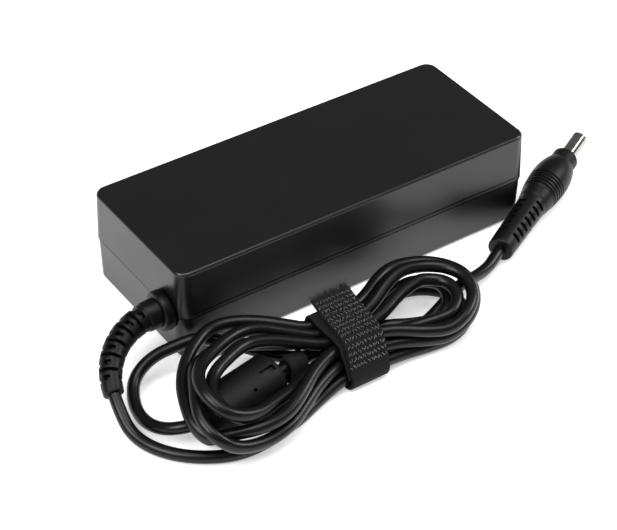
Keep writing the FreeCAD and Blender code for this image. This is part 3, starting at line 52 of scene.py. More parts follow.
# %% Units and named sizes
MM = 0.001
SEAM_HEIGHT = 16.0
CORD_RADIUS = 1.95
CORD_GAP = 0.6
TIE_GAP = 0.25
TIE_LAYER = 1.1
TIE_MIDDLE_X = -24.4
TIE_WIDTH = 13.3
TIE_REACH = TIE_WIDTH / 2 + 0.55
TIE_FRONT_Y = -61.5
FERRITE_MIDDLE = np.array([-64.6, -54.9, 7.6])
FERRITE_HEADING = math.radians(10.8)
print("cord", 2 * CORD_RADIUS, "mm thick, tie", TIE_WIDTH, "mm wide")


# %% [markdown]
# The camera stands where the photographer's did: the brick's corners in the picture fix its
# place, its turn and its lens. A long lens from about 63 cm gives the mild perspective.

# %% Camera
def standing(x_way, y_way, z_way, place_mm):
    """The matrix of a thing with these three axes at a place in millimetres."""
    stand = np.eye(4)
    stand[:3, :3] = np.column_stack([x_way, y_way, z_way])
    stand[:3, 3] = np.asarray(place_mm) * MM
    return Matrix(stand.tolist())


def camera_axes(azimuth, elevation, roll):
    """Right, up and backward directions of a camera, from its three angles in radians."""
    back = np.array([math.sin(azimuth) * math.cos(elevation),
                     -math.cos(azimuth) * math.cos(elevation), math.sin(elevation)])
    right = np.cross([0, 0, 1], back)
    right /= np.linalg.norm(right)
    up = np.cross(back, right)
    return (math.cos(roll) * right + math.sin(roll) * up,
            math.cos(roll) * up - math.sin(roll) * right, back)


IMAGE_WIDTH = 617
FOCAL_PIXELS = 1972.54
CAMERA_PLACE = (-283.434, -408.243, 393.404)
CAMERA_AZIMUTH, CAMERA_ELEVATION, CAMERA_ROLL = np.radians([-34.616, 38.982, 0.416])
camera_data = bpy.data.cameras.new("studio_camera")
camera_data.sensor_width = 36.0
camera_data.lens = FOCAL_PIXELS / IMAGE_WIDTH * camera_data.sensor_width
camera_data.clip_start = 0.01
camera_data.clip_end = 20.0
camera = bpy.data.objects.new("studio_camera", camera_data)
bpy.context.scene.collection.objects.link(camera)
camera.matrix_world = standing(*camera_axes(CAMERA_AZIMUTH, CAMERA_ELEVATION, CAMERA_ROLL),
                               CAMERA_PLACE)
bpy.context.scene.camera = camera
print("lens", round(camera_data.lens, 1), "mm")

# %% [markdown]
# The lead is one round two-core cord, 3.9 mm across. It leaves the moulded boot at the brick, is
# wound five times through the tie, threads the ferrite on its first turn, and ends in the plug.
# It is drawn as one smooth NURBS curve with a round bevel. First come the places that the cord
# passes: its slots in the tie, the loops beyond it, and the guided places round the open end.

# %% Places that the cord passes
PITCH = CORD_RADIUS * 2 + CORD_GAP
LOWEST_ROW = CORD_RADIUS + TIE_GAP + TIE_LAYER
EASE = np.array([[1 / 3, 0.26, 0.26], [2 / 3, 0.74, 0.74]])


def tie_slot(row, column):
    """Y and z of a cord in the tie: rows lean like stacked rope."""
    return TIE_FRONT_Y + PITCH * (column + row / 2), LOWEST_ROW + PITCH * math.sqrt(0.75) * row


def through_tie(slot, heading):
    """Three points straight through the tie, towards +x or -x."""
    reach = TIE_REACH * heading
    return [(TIE_MIDDLE_X + reach * k, *slot) for k in (-1, 0, 1)]


def beyond_tie(out_slot, home_slot, tip, middle, half, depth, levels, back_half=None, count=7):
    """One turn's places past the tie: eased out of its slot, round a half ellipse, eased home.

    The ellipse reaches the tip in x and is depth deep. In y it is half wide on each side of its
    middle, and back_half on the far side where that differs. Levels are its height at the start,
    at the tip and at the end, in z."""
    turn = np.radians(np.linspace(-90, 90, count))
    halves = np.where(turn < 0, half, back_half or half)
    height = np.interp(turn, [-math.pi / 2, 0, math.pi / 2], levels)
    x = tip - depth + depth * np.cos(turn)
    loop = np.column_stack([x, middle + halves * np.sin(turn), height])
    tie_end = TIE_MIDDLE_X + TIE_REACH
    out, home = (np.array([tie_end, *slot]) + (shoulder - [tie_end, *slot]) * EASE
                 for slot, shoulder in ((out_slot, loop[0]), (home_slot, loop[-1])))
    return [*map(tuple, out), *map(tuple, loop), *map(tuple, home[::-1])]


def through_ferrite():
    """Five points on the ferrite's own line."""
    way = np.array([math.cos(FERRITE_HEADING), math.sin(FERRITE_HEADING), 0.0])
    return [tuple(FERRITE_MIDDLE + reach * way) for reach in np.linspace(-13.1, 13.1, 5)]


turn_1 = ([(-50, -66.5, 1.95), (-41, -63.5, 2.3)] + through_tie(tie_slot(0, 0), 1)
          + beyond_tie(tie_slot(0, 0), tie_slot(0, 3), 19.8, -50.2, 12.6, 14, (2, 2, 2))
          + through_tie(tie_slot(0, 3), -1)
          + [(-41, -42.6, 3.6), (-50, -35, 6.4), (-59.5, -29.7, 10), (-67.6, -28.2, 10.4),
             (-75.8, -27, 8.4), (-82.8, -29.2, 5.6), (-87, -35.4, 3.8), (-88.4, -42.2, 3.2),
             (-87.4, -48.8, 4.2), (-84.2, -54.4, 6.4)]
          + through_ferrite() + [(-46.4, -51.6, 7.5), (-41, -51, 7.3)])
turn_2 = (through_tie(tie_slot(1, 2), 1)
          + beyond_tie(tie_slot(1, 2), tie_slot(1, 3), 14.4, -49, 9, 9, (7, 9.2, 8.3), 8)
          + through_tie(tie_slot(1, 3), -1)
          + [(-41, -42.6, 8.3), (-50, -39.2, 10.2), (-58.5, -38.2, 12.2), (-66.8, -41.2, 14.4),
             (-72.6, -46, 16.2), (-76.2, -52.2, 17.2), (-79.8, -58.8, 17.3), (-81.7, -64.8, 15.8),
             (-80.3, -70.4, 13.2), (-75, -73, 9), (-66, -73, 6.4), (-57, -71.2, 6.1),
             (-49.5, -67.4, 6.3), (-41, -62.6, 6.9)])
turn_3 = (through_tie(tie_slot(1, 0), 1)
          + beyond_tie(tie_slot(1, 0), tie_slot(2, 3), 22.3, -50.2, 14.8, 17, (5.8, 10.6, 11.6))
          + through_tie(tie_slot(2, 3), -1)
          + [(-38, -39.8, 12.4), (-44.5, -35.4, 13.6), (-51.5, -32, 14.2), (-58.8, -31.5, 14.4),
             (-66, -34.9, 14), (-72.4, -40.2, 13.4), (-76.9, -46.2, 12.8), (-80, -53, 12.6),
             (-81.7, -59.8, 11.4), (-80, -65.8, 9.7), (-74.6, -68.9, 10.4),
             (-66.2, -71.4, 10.7), (-57.6, -70.6, 10.7), (-50, -67, 11.6), (-41, -61.2, 12)])
turn_4 = (through_tie(tie_slot(2, 0), 1)
          + beyond_tie(tie_slot(2, 0), tie_slot(2, 2), 19, -53.8, 12.8, 15, (10.4, 14, 15.2), 12)
          + through_tie(tie_slot(2, 2), -1)
          + [(-39.5, -44.8, 13.6), (-47, -41, 16), (-55, -40.6, 17.6), (-64.2, -44.2, 19),
             (-72.4, -49.4, 20.6), (-77, -56, 21.5), (-77.9, -62.8, 20.9), (-74.8, -68.4, 18),
             (-66.6, -69, 14.4), (-58, -65.8, 11.9), (-50, -62.2, 9.7), (-41, -57.5, 8)])
turn_5 = (through_tie(tie_slot(1, 1), 1)
          + beyond_tie(tie_slot(1, 1), tie_slot(2, 1), 14, -54, 8, 8, (10.8, 12.8, 13.4), 7.2)
          + through_tie(tie_slot(2, 1), -1)
          + [(-39.5, -50, 13.4), (-47.2, -46.9, 15.8), (-55, -45.8, 17.2), (-63, -48.6, 18),
             (-69.4, -51.8, 17.7), (-73.2, -56.3, 17.5), (-74.8, -61, 17.2),
             (-73.6, -65, 15.4), (-68.8, -66.6, 11.8), (-61.6, -65.2, 8.2), (-53.4, -62.8, 5.8),
             (-45, -59.9, 4.1), (-38.4, -57.6, 3.4)] + through_tie(tie_slot(0, 1), 1))
hank = np.array(turn_1 + turn_2 + turn_3 + turn_4 + turn_5, float)
print("places in the hank:", len(hank))

# %% [markdown]
# The two free stretches are short routes of a few points each: from the boot down to the surface
# and round the outside of the hank, and from the hank over its own floor loop to the plug.

# %% Free stretches
BOOT_START = np.array([-70.05, -17.7, 16.0])
BOOT_BEND, BOOT_TURN, BOOT_DROOP = 23.4, math.radians(78), math.radians(23)
boot_out = np.array([-1.0, 0, 0])
boot_in = np.array([0, -math.cos(BOOT_DROOP), -math.sin(BOOT_DROOP)])
cord_start = (BOOT_START + boot_in * BOOT_BEND * (1 - math.cos(BOOT_TURN))
              + boot_out * BOOT_BEND * math.sin(BOOT_TURN))
cord_direction = boot_out * math.cos(BOOT_TURN) + boot_in * math.sin(BOOT_TURN)
lead_out = np.array([cord_start, cord_start + cord_direction * 5, (-94.2, -46, 2.6),
                     (-91.2, -55, 1.95), (-84, -63.5, 1.95), (-73.5, -69.4, 1.95),
                     (-62.6, -69.6, 1.95), (-54.41, -67.38, 1.95)])
PLUG = np.array([44.15, -40.3, 4.45])
PLUG_HEADING, PLUG_PITCH = math.radians(26.6), math.radians(3.7)
plug_direction = np.array([math.cos(PLUG_HEADING) * math.cos(PLUG_PITCH),
                           math.sin(PLUG_HEADING) * math.cos(PLUG_PITCH), math.sin(PLUG_PITCH)])
to_plug = np.array([hank[-1] + [4.6, 0, 0], (-5, -56, 2.4), (2.5, -53.9, 1.95),
                    (11.2, -51.3, 2.6), (20.6, -49.6, 7.7), (30.5, -46.3, 4.3),
                    (37, -43.9, 3.5), PLUG - plug_direction * 3.5, PLUG])
print("cord starts at", cord_start.round(2), "and enters the plug at", PLUG)


# %% [markdown]
# A NURBS curve of order 3 passes one eighth, six eighths, one eighth between its points, so it
# cuts a little inside each. The hank's strands lie less than a millimetre apart, so its points
# are moved outwards until the curve goes through the places above. That is one linear system.

# %% The cord's control points
def through_places(places, before, after):
    """Control points P with (P[i-1] + 6 P[i] + P[i+1]) / 8 = place i, between two fixed ones."""
    count = len(places)
    weights = np.diag(np.full(count, 6.0)) + np.eye(count, k=1) + np.eye(count, k=-1)
    wanted = places * 8.0
    wanted[0] -= before
    wanted[-1] -= after
    return np.linalg.solve(weights, wanted)


hank_points = through_places(hank, lead_out[-1], to_plug[0])
cord_points = np.vstack([lead_out, hank_points, to_plug])
cord_points[:, 2] = np.maximum(cord_points[:, 2], CORD_RADIUS)
print("control points:", len(cord_points),
      "moved at most", np.linalg.norm(hank_points - hank, axis=1).max().round(2), "mm")


# %% [markdown]
# A bevelled curve keeps the section round however tight the bend is, and it keeps its few control
# points, where a mesh tube would fix thousands. Its points' radius scales the bevel.

# %% The cord as a curve
def nurbs_curve(name, points, radius):
    """A smooth open curve with a round section; each point's radius scales the bevel to metres."""
    data = bpy.data.curves.new(name, "CURVE")
    data.dimensions = "3D"
    data.resolution_u = 10
    data.bevel_depth = radius
    data.bevel_resolution = 6
    data.use_fill_caps = True
    spline = data.splines.new("NURBS")
    spline.points.add(len(points) - 1)
    places = np.column_stack([points * MM, np.ones(len(points))])
    spline.points.foreach_set("co", places.astype(np.float32).ravel())
    spline.points.foreach_set("radius", np.full(len(points), MM, np.float32))
    spline.order_u = 3
    spline.use_endpoint_u = True
    made = bpy.data.objects.new(name, data)
    bpy.context.scene.collection.objects.link(made)
    return made


cord = nurbs_curve("output_cord", cord_points, CORD_RADIUS)
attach(cord, "root")
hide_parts("cord_lead_out", "cord_hank", "cord_to_plug")
print("cord with", len(cord.data.splines[0].points), "control points")


# %% [markdown]
# The boot, the handle, the bands of the tie and the floor are grids of points: rows along them and
# columns across. One helper turns such a grid into a mesh. It can close the ends, and it can add a
# UV map in millimetres, so that a weave follows the surface at its real size.

# %% A grid of points as a mesh
def surface(name, grid, uv=None, ring=False, caps=False):
    """Quads between neighbouring grid points; ring joins the last column to the first."""
    rows, columns = grid.shape[:2]
    index = np.arange(rows * columns).reshape(rows, columns)
    after = np.roll(index, -1, axis=1) if ring else index[:, 1:]
    here = index if ring else index[:, :-1]
    quads = np.stack([here[:-1], after[:-1], after[1:], here[1:]], axis=-1).reshape(-1, 4)
    faces = quads.tolist()
    if caps:
        faces += [index[0, ::-1].tolist(), index[-1].tolist()]
    mesh = bpy.data.meshes.new(name)
    mesh.from_pydata((grid.reshape(-1, 3) * MM).tolist(), [], faces)
    if uv is not None:
        corners = np.empty(len(mesh.loops), np.int32)
        mesh.loops.foreach_get("vertex_index", corners)
        layer = mesh.uv_layers.new(name="millimetres")
        layer.data.foreach_set("uv", uv.reshape(-1, 2)[corners].astype(np.float32).ravel())
    turned_out = bmesh.new()
    turned_out.from_mesh(mesh)
    bmesh.ops.recalc_face_normals(turned_out, faces=turned_out.faces)
    turned_out.to_mesh(mesh)
    turned_out.free()
    mesh.shade_smooth()
    made = bpy.data.objects.new(name, mesh)
    bpy.context.scene.collection.objects.link(made)
    print(name, len(mesh.polygons), "faces")
    return made


# %% [markdown]
# Two soft mouldings keep the lead from kinking: the boot at the brick and the tail of the plug's
# handle. Both have rows of slots, so that they bend like a spring, and the handle has grip rings
# too. Cutting each slot with a boolean would leave ragged edges, so the radius itself is a
# function of two parameters here, the distance along and the angle round, and it drops wherever
# a slot or a groove lies. Angles are counted from the side that faces up and towards the viewer.

# %% Helpers for a slotted moulding
SLOT_FACING = np.array([-0.44, -0.64, 0.63])
EDGE_MM = 0.16


def window(value, centre, half_width, edge):
    """1 inside a window and 0 outside, with a soft step of the given width at each side."""
    inside = np.clip((half_width + edge / 2 - np.abs(value - centre)) / edge, 0, 1)
    return inside * inside * (3 - 2 * inside)


def rows_of_slots(travel, angle, places, middles, half_length_mm, half_turn, radius):
    """How much each point lies in a slot: windows along, times windows round at each middle."""
    share = np.zeros((len(travel), len(angle)))
    round_edge = EDGE_MM / radius
    for middle in middles:
        away = np.abs((angle - middle + math.pi) % (2 * math.pi) - math.pi)
        here = window(away, 0, half_turn, round_edge)
        for place in places:
            along = window(travel, place, half_length_mm, EDGE_MM)
            share = np.maximum(share, along[:, None] * here[None, :])
    return share


def carried(name, line, ways, radius, angle):
    """Rings of points about a line: centre + radius * (facing * cos + side * sin)."""
    facing = SLOT_FACING - ways * (ways @ SLOT_FACING)[:, None]
    facing /= np.linalg.norm(facing, axis=1)[:, None]
    side = np.cross(ways, facing)
    ring = (facing[:, None, :] * np.cos(angle)[None, :, None]
            + side[:, None, :] * np.sin(angle)[None, :, None])
    return surface(name, line[:, None, :] + ring * radius[:, :, None], ring=True, caps=True)


print("slots face", SLOT_FACING)

# %% [markdown]
# The boot leaves the brick through a round flange and a plain sleeve, then bends down to the
# surface and tapers to 6 mm across. Its slots take turns: four round the boot, then a long pair,
# one facing the viewer and one opposite, so that each ring hangs on the next by thin bridges only.

# %% Boot at the brick
FLANGE_FACE_X = -65.15
BEND_START = 4.9
BOOT_END = BEND_START + BOOT_BEND * BOOT_TURN
BOOT_PROFILE = np.array([(0, 6.1), (0.3, 6.4), (2.5, 6.4), (2.95, 6.2), (3.2, 5.8), (3.25, 4.7),
                         (7.3, 4.6), (7.5, 4.4), (7.55, 4.25), (9, 4.2), (18, 3.95), (26, 3.65),
                         (32, 3.3), (BOOT_END - 0.3, 3.1), (BOOT_END, 2.7)])
BOOT_SLOTS = 9.4 + 2.3 * np.arange(11)
BOOT_SLOT_DEPTH = 1.45
BOOT_SLOT_RADIUS = 3.7
BOOT_ROW = math.radians(14)
GRID_STEP = 0.12
SHARP_EDGE = math.radians(35)
angle = np.linspace(0, 2 * math.pi, 144, endpoint=False)


def boot_line(travel):
    """Centre and direction of the boot: straight through the flange, then an arc downwards."""
    turn = np.maximum(travel - BEND_START, 0)[:, None] / BOOT_BEND
    straight = np.minimum(travel, BEND_START)[:, None]
    start = np.array([FLANGE_FACE_X, BOOT_START[1], BOOT_START[2]])
    centre = (start + boot_out * straight + boot_in * BOOT_BEND * (1 - np.cos(turn))
              + boot_out * BOOT_BEND * np.sin(turn))
    return centre, boot_out * np.cos(turn) + boot_in * np.sin(turn)


def boot_slots(travel, places, middles, half_length, half_turn_degrees):
    """Slots of the boot at the given places, as rows_of_slots gives them."""
    return rows_of_slots(travel, angle, places, middles, half_length,
                         math.radians(half_turn_degrees), BOOT_SLOT_RADIUS)


travel = np.concatenate([[0, 0.05, 0.2, 0.5, 2.4, 2.7, 2.95, 3.1, 3.2, 3.25, 3.4, 5, 7.2],
                         np.arange(7.4, BOOT_END - 0.3, GRID_STEP),
                         BOOT_END - np.array([0.25, 0.15, 0.05, 0])])
short = boot_slots(travel, BOOT_SLOTS[0::2], (BOOT_ROW, BOOT_ROW + math.pi), 0.66, 16)
side = boot_slots(travel, BOOT_SLOTS[0::2], (math.pi / 2, -math.pi / 2), 0.66, 38)
long = boot_slots(travel, BOOT_SLOTS[1::2], (BOOT_ROW / 2, BOOT_ROW / 2 + math.pi), 0.5, 56)
slots = np.maximum(np.maximum(short, side), long)
boot_radius = np.interp(travel, *BOOT_PROFILE.T)[:, None] - slots * BOOT_SLOT_DEPTH
boot = carried("cord_boot", *boot_line(travel), boot_radius, angle)
boot.data.set_sharp_from_angle(angle=SHARP_EDGE)
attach(boot, "root")
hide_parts("cord_gland")

# %% [markdown]
# The plug's handle is 47 mm long. Its tail is a slim cone with four rows of slots: two opposite
# rows of seven, and two of six between them, half a pitch further on. It then swells to 13 mm,
# with five grip rings on the slope, and rounds off towards the metal barrel.

# %% Handle of the plug
GRIP_PROFILE = np.array([(0, 3.9), (0.2, 4.15), (0.5, 4.25), (12, 4.45), (22.5, 4.7),
                         (24.5, 4.85), (26.5, 5.25), (28.5, 5.7), (31, 6.05), (34.5, 6.35),
                         (38, 6.5), (41, 6.35), (43.5, 5.95), (45.5, 5.4), (46.6, 5.0),
                         (47, 4.6)])
GRIP_ROW = math.radians(25)
GRIP_SLOTS = 5.2 + 2.9 * np.arange(7)
GRIP_SLOT_DEPTH, GRIP_SLOT_RADIUS, GRIP_SLOT_TURN = 2.1, 4.4, math.radians(23)
GRIP_RINGS = 30.0 + 1.35 * np.arange(5)
RING_DEPTH, RING_HALF_WIDTH = 0.42, 0.3
travel = np.concatenate([[0, 0.05, 0.2, 0.4, 2.5], np.arange(3.2, 25.4, GRID_STEP),
                         np.linspace(25.6, 29.1, 8), np.arange(29.2, 36.2, 0.09),
                         np.linspace(36.4, 46.4, 26), [46.6, 46.8, 46.95, 47.0]])
outline = np.interp(travel, *GRIP_PROFILE.T)
running_mean = np.convolve(np.pad(outline, 4, mode="edge"), np.ones(9) / 9, mode="valid")
outline = np.where((travel > 23) & (travel < 46), running_mean, outline)
rings = sum(window(travel, place, RING_HALF_WIDTH, EDGE_MM) for place in GRIP_RINGS)
even = rows_of_slots(travel, angle, GRIP_SLOTS, (GRIP_ROW, GRIP_ROW + math.pi), 0.56,
                     GRIP_SLOT_TURN, GRIP_SLOT_RADIUS)
odd = rows_of_slots(travel, angle, GRIP_SLOTS[:-1] + 1.42,
                    (GRIP_ROW + math.pi / 2, GRIP_ROW - math.pi / 2), 0.5,
                    GRIP_SLOT_TURN, GRIP_SLOT_RADIUS)
grip_radius = (outline[:, None] - np.maximum(even, odd) * GRIP_SLOT_DEPTH
               - rings[:, None] * RING_DEPTH)
grip_line = PLUG + travel[:, None] * plug_direction
grip_ways = np.repeat(plug_direction[None], len(travel), axis=0)
handle = carried("plug_grip", grip_line, grip_ways, grip_radius, angle)
handle.data.set_sharp_from_angle(angle=SHARP_EDGE)
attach(handle, "root")
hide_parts("plug_handle")

# %% [markdown]
# The tie is one hook-and-loop strap of soft nylon, 13 mm wide, wound round all the cords: up the
# front, over the top, down the back, under the hank, and up the front again, where its end lies
# over the top and lifts a little. Its line is a chain of arcs about the corner cords.

# %% Line of the strap
FRONT, TOP, BACK, UNDER = 150, 90, -30, -90
CORNERS = dict(low_front=tie_slot(0, 0), low_back=tie_slot(0, 3),
               high_back=tie_slot(2, 3), high_front=tie_slot(2, 0))


def about(corner, start, end, offset, last_offset=None, count=16):
    """Arc of (y, z) points about a corner cord, between two outward directions in degrees."""
    angles = np.radians(np.linspace(start, end, count))
    reach = np.linspace(offset, last_offset or offset, count)[:, None]
    return np.array(CORNERS[corner]) + reach * np.column_stack([np.cos(angles), np.sin(angles)])


def evenly(line, step):
    """The same line with its points a fixed step apart."""
    travel = np.concatenate([[0], np.cumsum(np.linalg.norm(np.diff(line, axis=0), axis=1))])
    places = np.linspace(0, travel[-1], int(travel[-1] / step) + 1)
    return np.column_stack([np.interp(places, travel, line[:, k]) for k in range(line.shape[1])])


STRAP_STEP = 0.35
inner = CORD_RADIUS + TIE_GAP + TIE_LAYER / 2
outer = inner + TIE_LAYER
free_end = np.array([(-44.0, 14.94), (-42.6, 14.98), (-41.2, 15.15), (-39.9, 15.45),
                     (-38.8, 15.8)])
strap_line = np.vstack([about("low_front", FRONT, FRONT, inner, count=1),
                        about("high_front", FRONT, TOP, inner),
                        about("high_back", TOP, BACK, inner),
                        about("low_back", BACK, UNDER, inner),
                        about("low_front", UNDER, FRONT - 360, inner, outer, 28),
                        about("high_front", FRONT, TOP, outer), free_end])
strap_line = evenly(strap_line, STRAP_STEP)
print("strap length", round(STRAP_STEP * len(strap_line), 1), "mm")

# %% [markdown]
# Webbing is thin and stiff across its width, so it bends only along its line. One band function
# carries a flat section with round edges along any such line. It makes the strap, the hook tape
# and the holding loop. The strap's outer turn drifts sideways, as a strap wound by hand does.

# %% The strap's body
LAYER_THICKNESS = 0.9
STRAP_LEAN, LEAN_START = 3.6, 0.55
SWAY = 0.1


def band(name, line, middle_x, width, thickness, wander=0.0, lift=0.0):
    """A flat band with round edges along a line of (y, z); lift moves it out, middle_x may vary."""
    along = np.gradient(line, axis=0)
    along /= np.linalg.norm(along, axis=1)[:, None]
    outward = np.column_stack([-along[:, 1], along[:, 0]])
    travel = np.concatenate([[0], np.cumsum(np.linalg.norm(np.diff(line, axis=0), axis=1))])
    half_w, half_t = width / 2, thickness / 2
    flat = np.linspace(-1, 1, 15) * (half_w - half_t)
    turn = np.linspace(0, math.pi, 7)[1:-1]
    across = np.concatenate([flat, half_w - half_t + half_t * np.sin(turn),
                             flat[::-1], -(half_w - half_t) - half_t * np.sin(turn)])
    high = np.concatenate([np.full(15, 1.0), np.cos(turn), np.full(15, -1.0), -np.cos(turn)])
    high = high * half_t + lift
    sway = wander * (np.sin(travel * 0.53) + 0.6 * np.sin(travel * 1.31 + 1.0))
    x = np.asarray(middle_x).reshape(-1, 1) + across[None, :] + sway[:, None]
    place = line[:, None, :] + outward[:, None, :] * high[None, :, None]
    grid = np.dstack([x, place[:, :, 0], place[:, :, 1]])
    uv = np.dstack([np.broadcast_to(across[None, :], x.shape),
                    np.broadcast_to(travel[:, None], x.shape)])
    return surface(name, grid, uv, ring=True, caps=True)


travel_share = np.linspace(0.0, 1.0, len(strap_line))
lean_share = np.clip((travel_share - LEAN_START) / (1 - LEAN_START), 0.0, 1.0)
strap_middle = TIE_MIDDLE_X + STRAP_LEAN * lean_share ** 1.5
strap = band("tie_strap", strap_line, strap_middle, TIE_WIDTH, LAYER_THICKNESS, wander=SWAY)
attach(strap, "root")
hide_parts("cable_tie")

# %% [markdown]
# The hook side is a woven tape welded onto the strap's last stretch. Its hooks stand in staggered
# rows, 1.3 mm apart across the tape and 0.95 mm along it. Each is a small arch, bent over like
# the real hook, and all of them are one mesh.

# %% Hook tape
TAPE_START_Z = 7.2
TAPE_LIFT = 0.5
on_first_turn = np.arange(len(strap_line)) < 150
tape_start = np.argmin(np.abs(strap_line[:, 1] - TAPE_START_Z) + 50 * on_first_turn)
tape_line = strap_line[tape_start:-2]
tape_middle = strap_middle[tape_start:-2]
tape = band("hook_tape", tape_line, tape_middle, TIE_WIDTH + 0.25, 0.3, wander=SWAY,
            lift=TAPE_LIFT)
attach(tape, "root")


# %% [markdown]
# Hooks and loose fibres are thin tubes by the hundred. One function turns an array of their rings
# into a single mesh, which is quicker to make and to draw than hundreds of objects.

# %% Hooks
def many_tubes(name, points):
    """Closed tubes from points[tube, ring, side]: quads between the rings, a cap at each end."""
    count, rings, sides = points.shape[:3]
    block = np.arange(rings * sides).reshape(rings, sides)
    beside = np.roll(block, -1, axis=1)
    quads = np.stack([block[:-1], beside[:-1], beside[1:], block[1:]], axis=-1)
    first = rings * sides * np.arange(count)[:, None]
    faces = (quads.reshape(-1, 4) + first[:, None]).reshape(-1, 4).tolist()
    faces += (block[0, ::-1] + first).tolist() + (block[-1] + first).tolist()
    mesh = bpy.data.meshes.new(name)
    mesh.from_pydata((points.reshape(-1, 3) * MM).tolist(), [], faces)
    made = bpy.data.objects.new(name, mesh)
    bpy.context.scene.collection.objects.link(made)
    print(name, "has", count, "tubes")
    return made


def arches(name, feet, along, outward, length, height, thickness):
    """Arches of square wire: each stands on its foot, rises as a sine and bends over, along."""
    turn = np.linspace(0, math.pi * 0.92, 6)
    forward = (1 - np.cos(turn)) / 2 * length
    rise = np.sin(turn) * height
    sideways = np.cross(along, outward)
    spine = (feet[:, None, :] + along[:, None, :] * forward[None, :, None]
             + outward[:, None, :] * rise[None, :, None])
    run = np.gradient(spine, axis=1)
    run /= np.linalg.norm(run, axis=2)[:, :, None]
    side = np.broadcast_to(sideways[:, None, :], spine.shape)
    up_way = np.cross(run, side)
    corners = [spine + thickness / 2 * (a * side + b * up_way)
               for a, b in ((-1, -1), (1, -1), (1, 1), (-1, 1))]
    return many_tubes(name, np.stack(corners, axis=2))


HOOKS_ALONG, HOOKS_ACROSS, HOOK_COLUMNS = 0.95, 1.3, 10
rng = np.random.default_rng(7)
rows = evenly(tape_line, HOOKS_ALONG)[1:-1]
columns = (np.arange(HOOK_COLUMNS) - (HOOK_COLUMNS - 1) / 2) * HOOKS_ACROSS
row_way = np.gradient(rows, axis=0)
row_way /= np.linalg.norm(row_way, axis=1)[:, None]
row_out = np.column_stack([-row_way[:, 1], row_way[:, 0]])
stagger = np.where(np.arange(len(rows)) % 2 == 0, 0.0, HOOKS_ACROSS / 2)
row_middle = np.interp(np.linspace(0, 1, len(rows)), np.linspace(0, 1, len(tape_middle)),
                       tape_middle)
foot_x = row_middle[:, None] + columns[None, :] + stagger[:, None] - 0.3
foot_x = foot_x + rng.normal(0, 0.08, foot_x.shape)
foot_yz = rng.normal(0, 0.06, (len(rows), HOOK_COLUMNS, 2)) + (rows + row_out * 0.6)[:, None, :]
feet = np.dstack([foot_x, foot_yz[:, :, 0], foot_yz[:, :, 1]]).reshape(-1, 3)
flip = np.where((np.arange(len(feet)) // HOOK_COLUMNS) % 2 == 0, 1.0, -1.0)[:, None]
tilt = rng.normal(0, 0.35, len(feet))
way = np.repeat(np.column_stack([np.zeros(len(rows)), row_way]), HOOK_COLUMNS, axis=0) * flip
way = way * np.cos(tilt)[:, None] + np.array([[1.0, 0, 0]]) * np.sin(tilt)[:, None]
out = np.repeat(np.column_stack([np.zeros(len(rows)), row_out]), HOOK_COLUMNS, axis=0)
hooks = arches("tape_hooks", feet, way, out, length=0.75, height=0.38, thickness=0.2)
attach(hooks, "root")

# %% [markdown]
# A used strap has fluff: fine loose fibres along its edges and at its free end. Each is a bent
# three-sided thread, thinner towards its tip.

# %% Loose fibres
def fibres(name, roots, ways, lengths, radius):
    """Bent threads: four rings of three points each, narrowing from the root to the tip."""
    t = np.linspace(0, 1, 4)
    bend = rng.normal(0, 0.45, (len(roots), 3))
    spine = (roots[:, None, :] + ways[:, None, :] * (lengths[:, None] * t)[:, :, None]
             + bend[:, None, :] * (lengths[:, None] * t ** 2)[:, :, None])
    first = np.cross(ways, [0.3, 0.5, 0.8])
    first /= np.linalg.norm(first, axis=1)[:, None]
    second = np.cross(ways, first)
    angles = np.radians([0, 120, 240])
    ring = (first[:, None, :] * np.cos(angles)[None, :, None]
            + second[:, None, :] * np.sin(angles)[None, :, None])
    narrow = radius * (1 - 0.7 * t)
    return many_tubes(name, spine[:, :, None, :] + ring[:, None, :, :] * narrow[:, None, None])


EDGE_FIBRES = END_FIBRES = 420
FLOOR_CLEARANCE = 1.2
outer_turn = len(strap_line) // 3
outside = strap_line[outer_turn:]
picked = rng.integers(0, len(outside) - 1, EDGE_FIBRES)
edge_side = rng.choice([-1.0, 1.0], EDGE_FIBRES)
edge_middle = strap_middle[outer_turn:][picked]
edge_roots = np.column_stack([edge_middle + edge_side * (TIE_WIDTH / 2 - 0.15), outside[picked]])
edge_ways = np.column_stack([edge_side * 0.8, rng.normal(0, 0.5, (EDGE_FIBRES, 2))])
end_roots = np.column_stack([strap_middle[-1] + rng.uniform(-0.5, 0.5, END_FIBRES) * TIE_WIDTH,
                             np.repeat(strap_line[-1:], END_FIBRES, axis=0)
                             + rng.normal(0, 0.3, (END_FIBRES, 2))])
end_ways = np.column_stack([rng.normal(0, 0.4, END_FIBRES), np.full(END_FIBRES, 0.8),
                            rng.normal(0.5, 0.5, END_FIBRES)])
roots = np.vstack([edge_roots, end_roots])
ways = np.vstack([edge_ways, end_ways])
ways /= np.linalg.norm(ways, axis=1)[:, None]
lengths = rng.uniform(0.35, 1.1, len(roots)) + 0.9 * (np.arange(len(roots)) >= len(edge_roots))
keep = roots[:, 2] > FLOOR_CLEARANCE
fluff = fibres("strap_fluff", roots[keep], ways[keep], lengths[keep], 0.045)
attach(fluff, "root")

# %% [markdown]
# The strap's other end is sewn into a small loop that stays on the lead beside the ferrite, so
# that the tie can't get lost. It is ribbed webbing, a flat band round one strand.

# %% Holding loop
LOOP_START = np.array([-45.0, -51.45, 7.4])
LOOP_WAY = np.array([1.0, 0.11, 0.0]) / math.hypot(1, 0.11)
LOOP_LENGTH, LOOP_DROP = 6.5, 2.7
LOOP_RADIUS = CORD_RADIUS + TIE_GAP + TIE_LAYER / 2


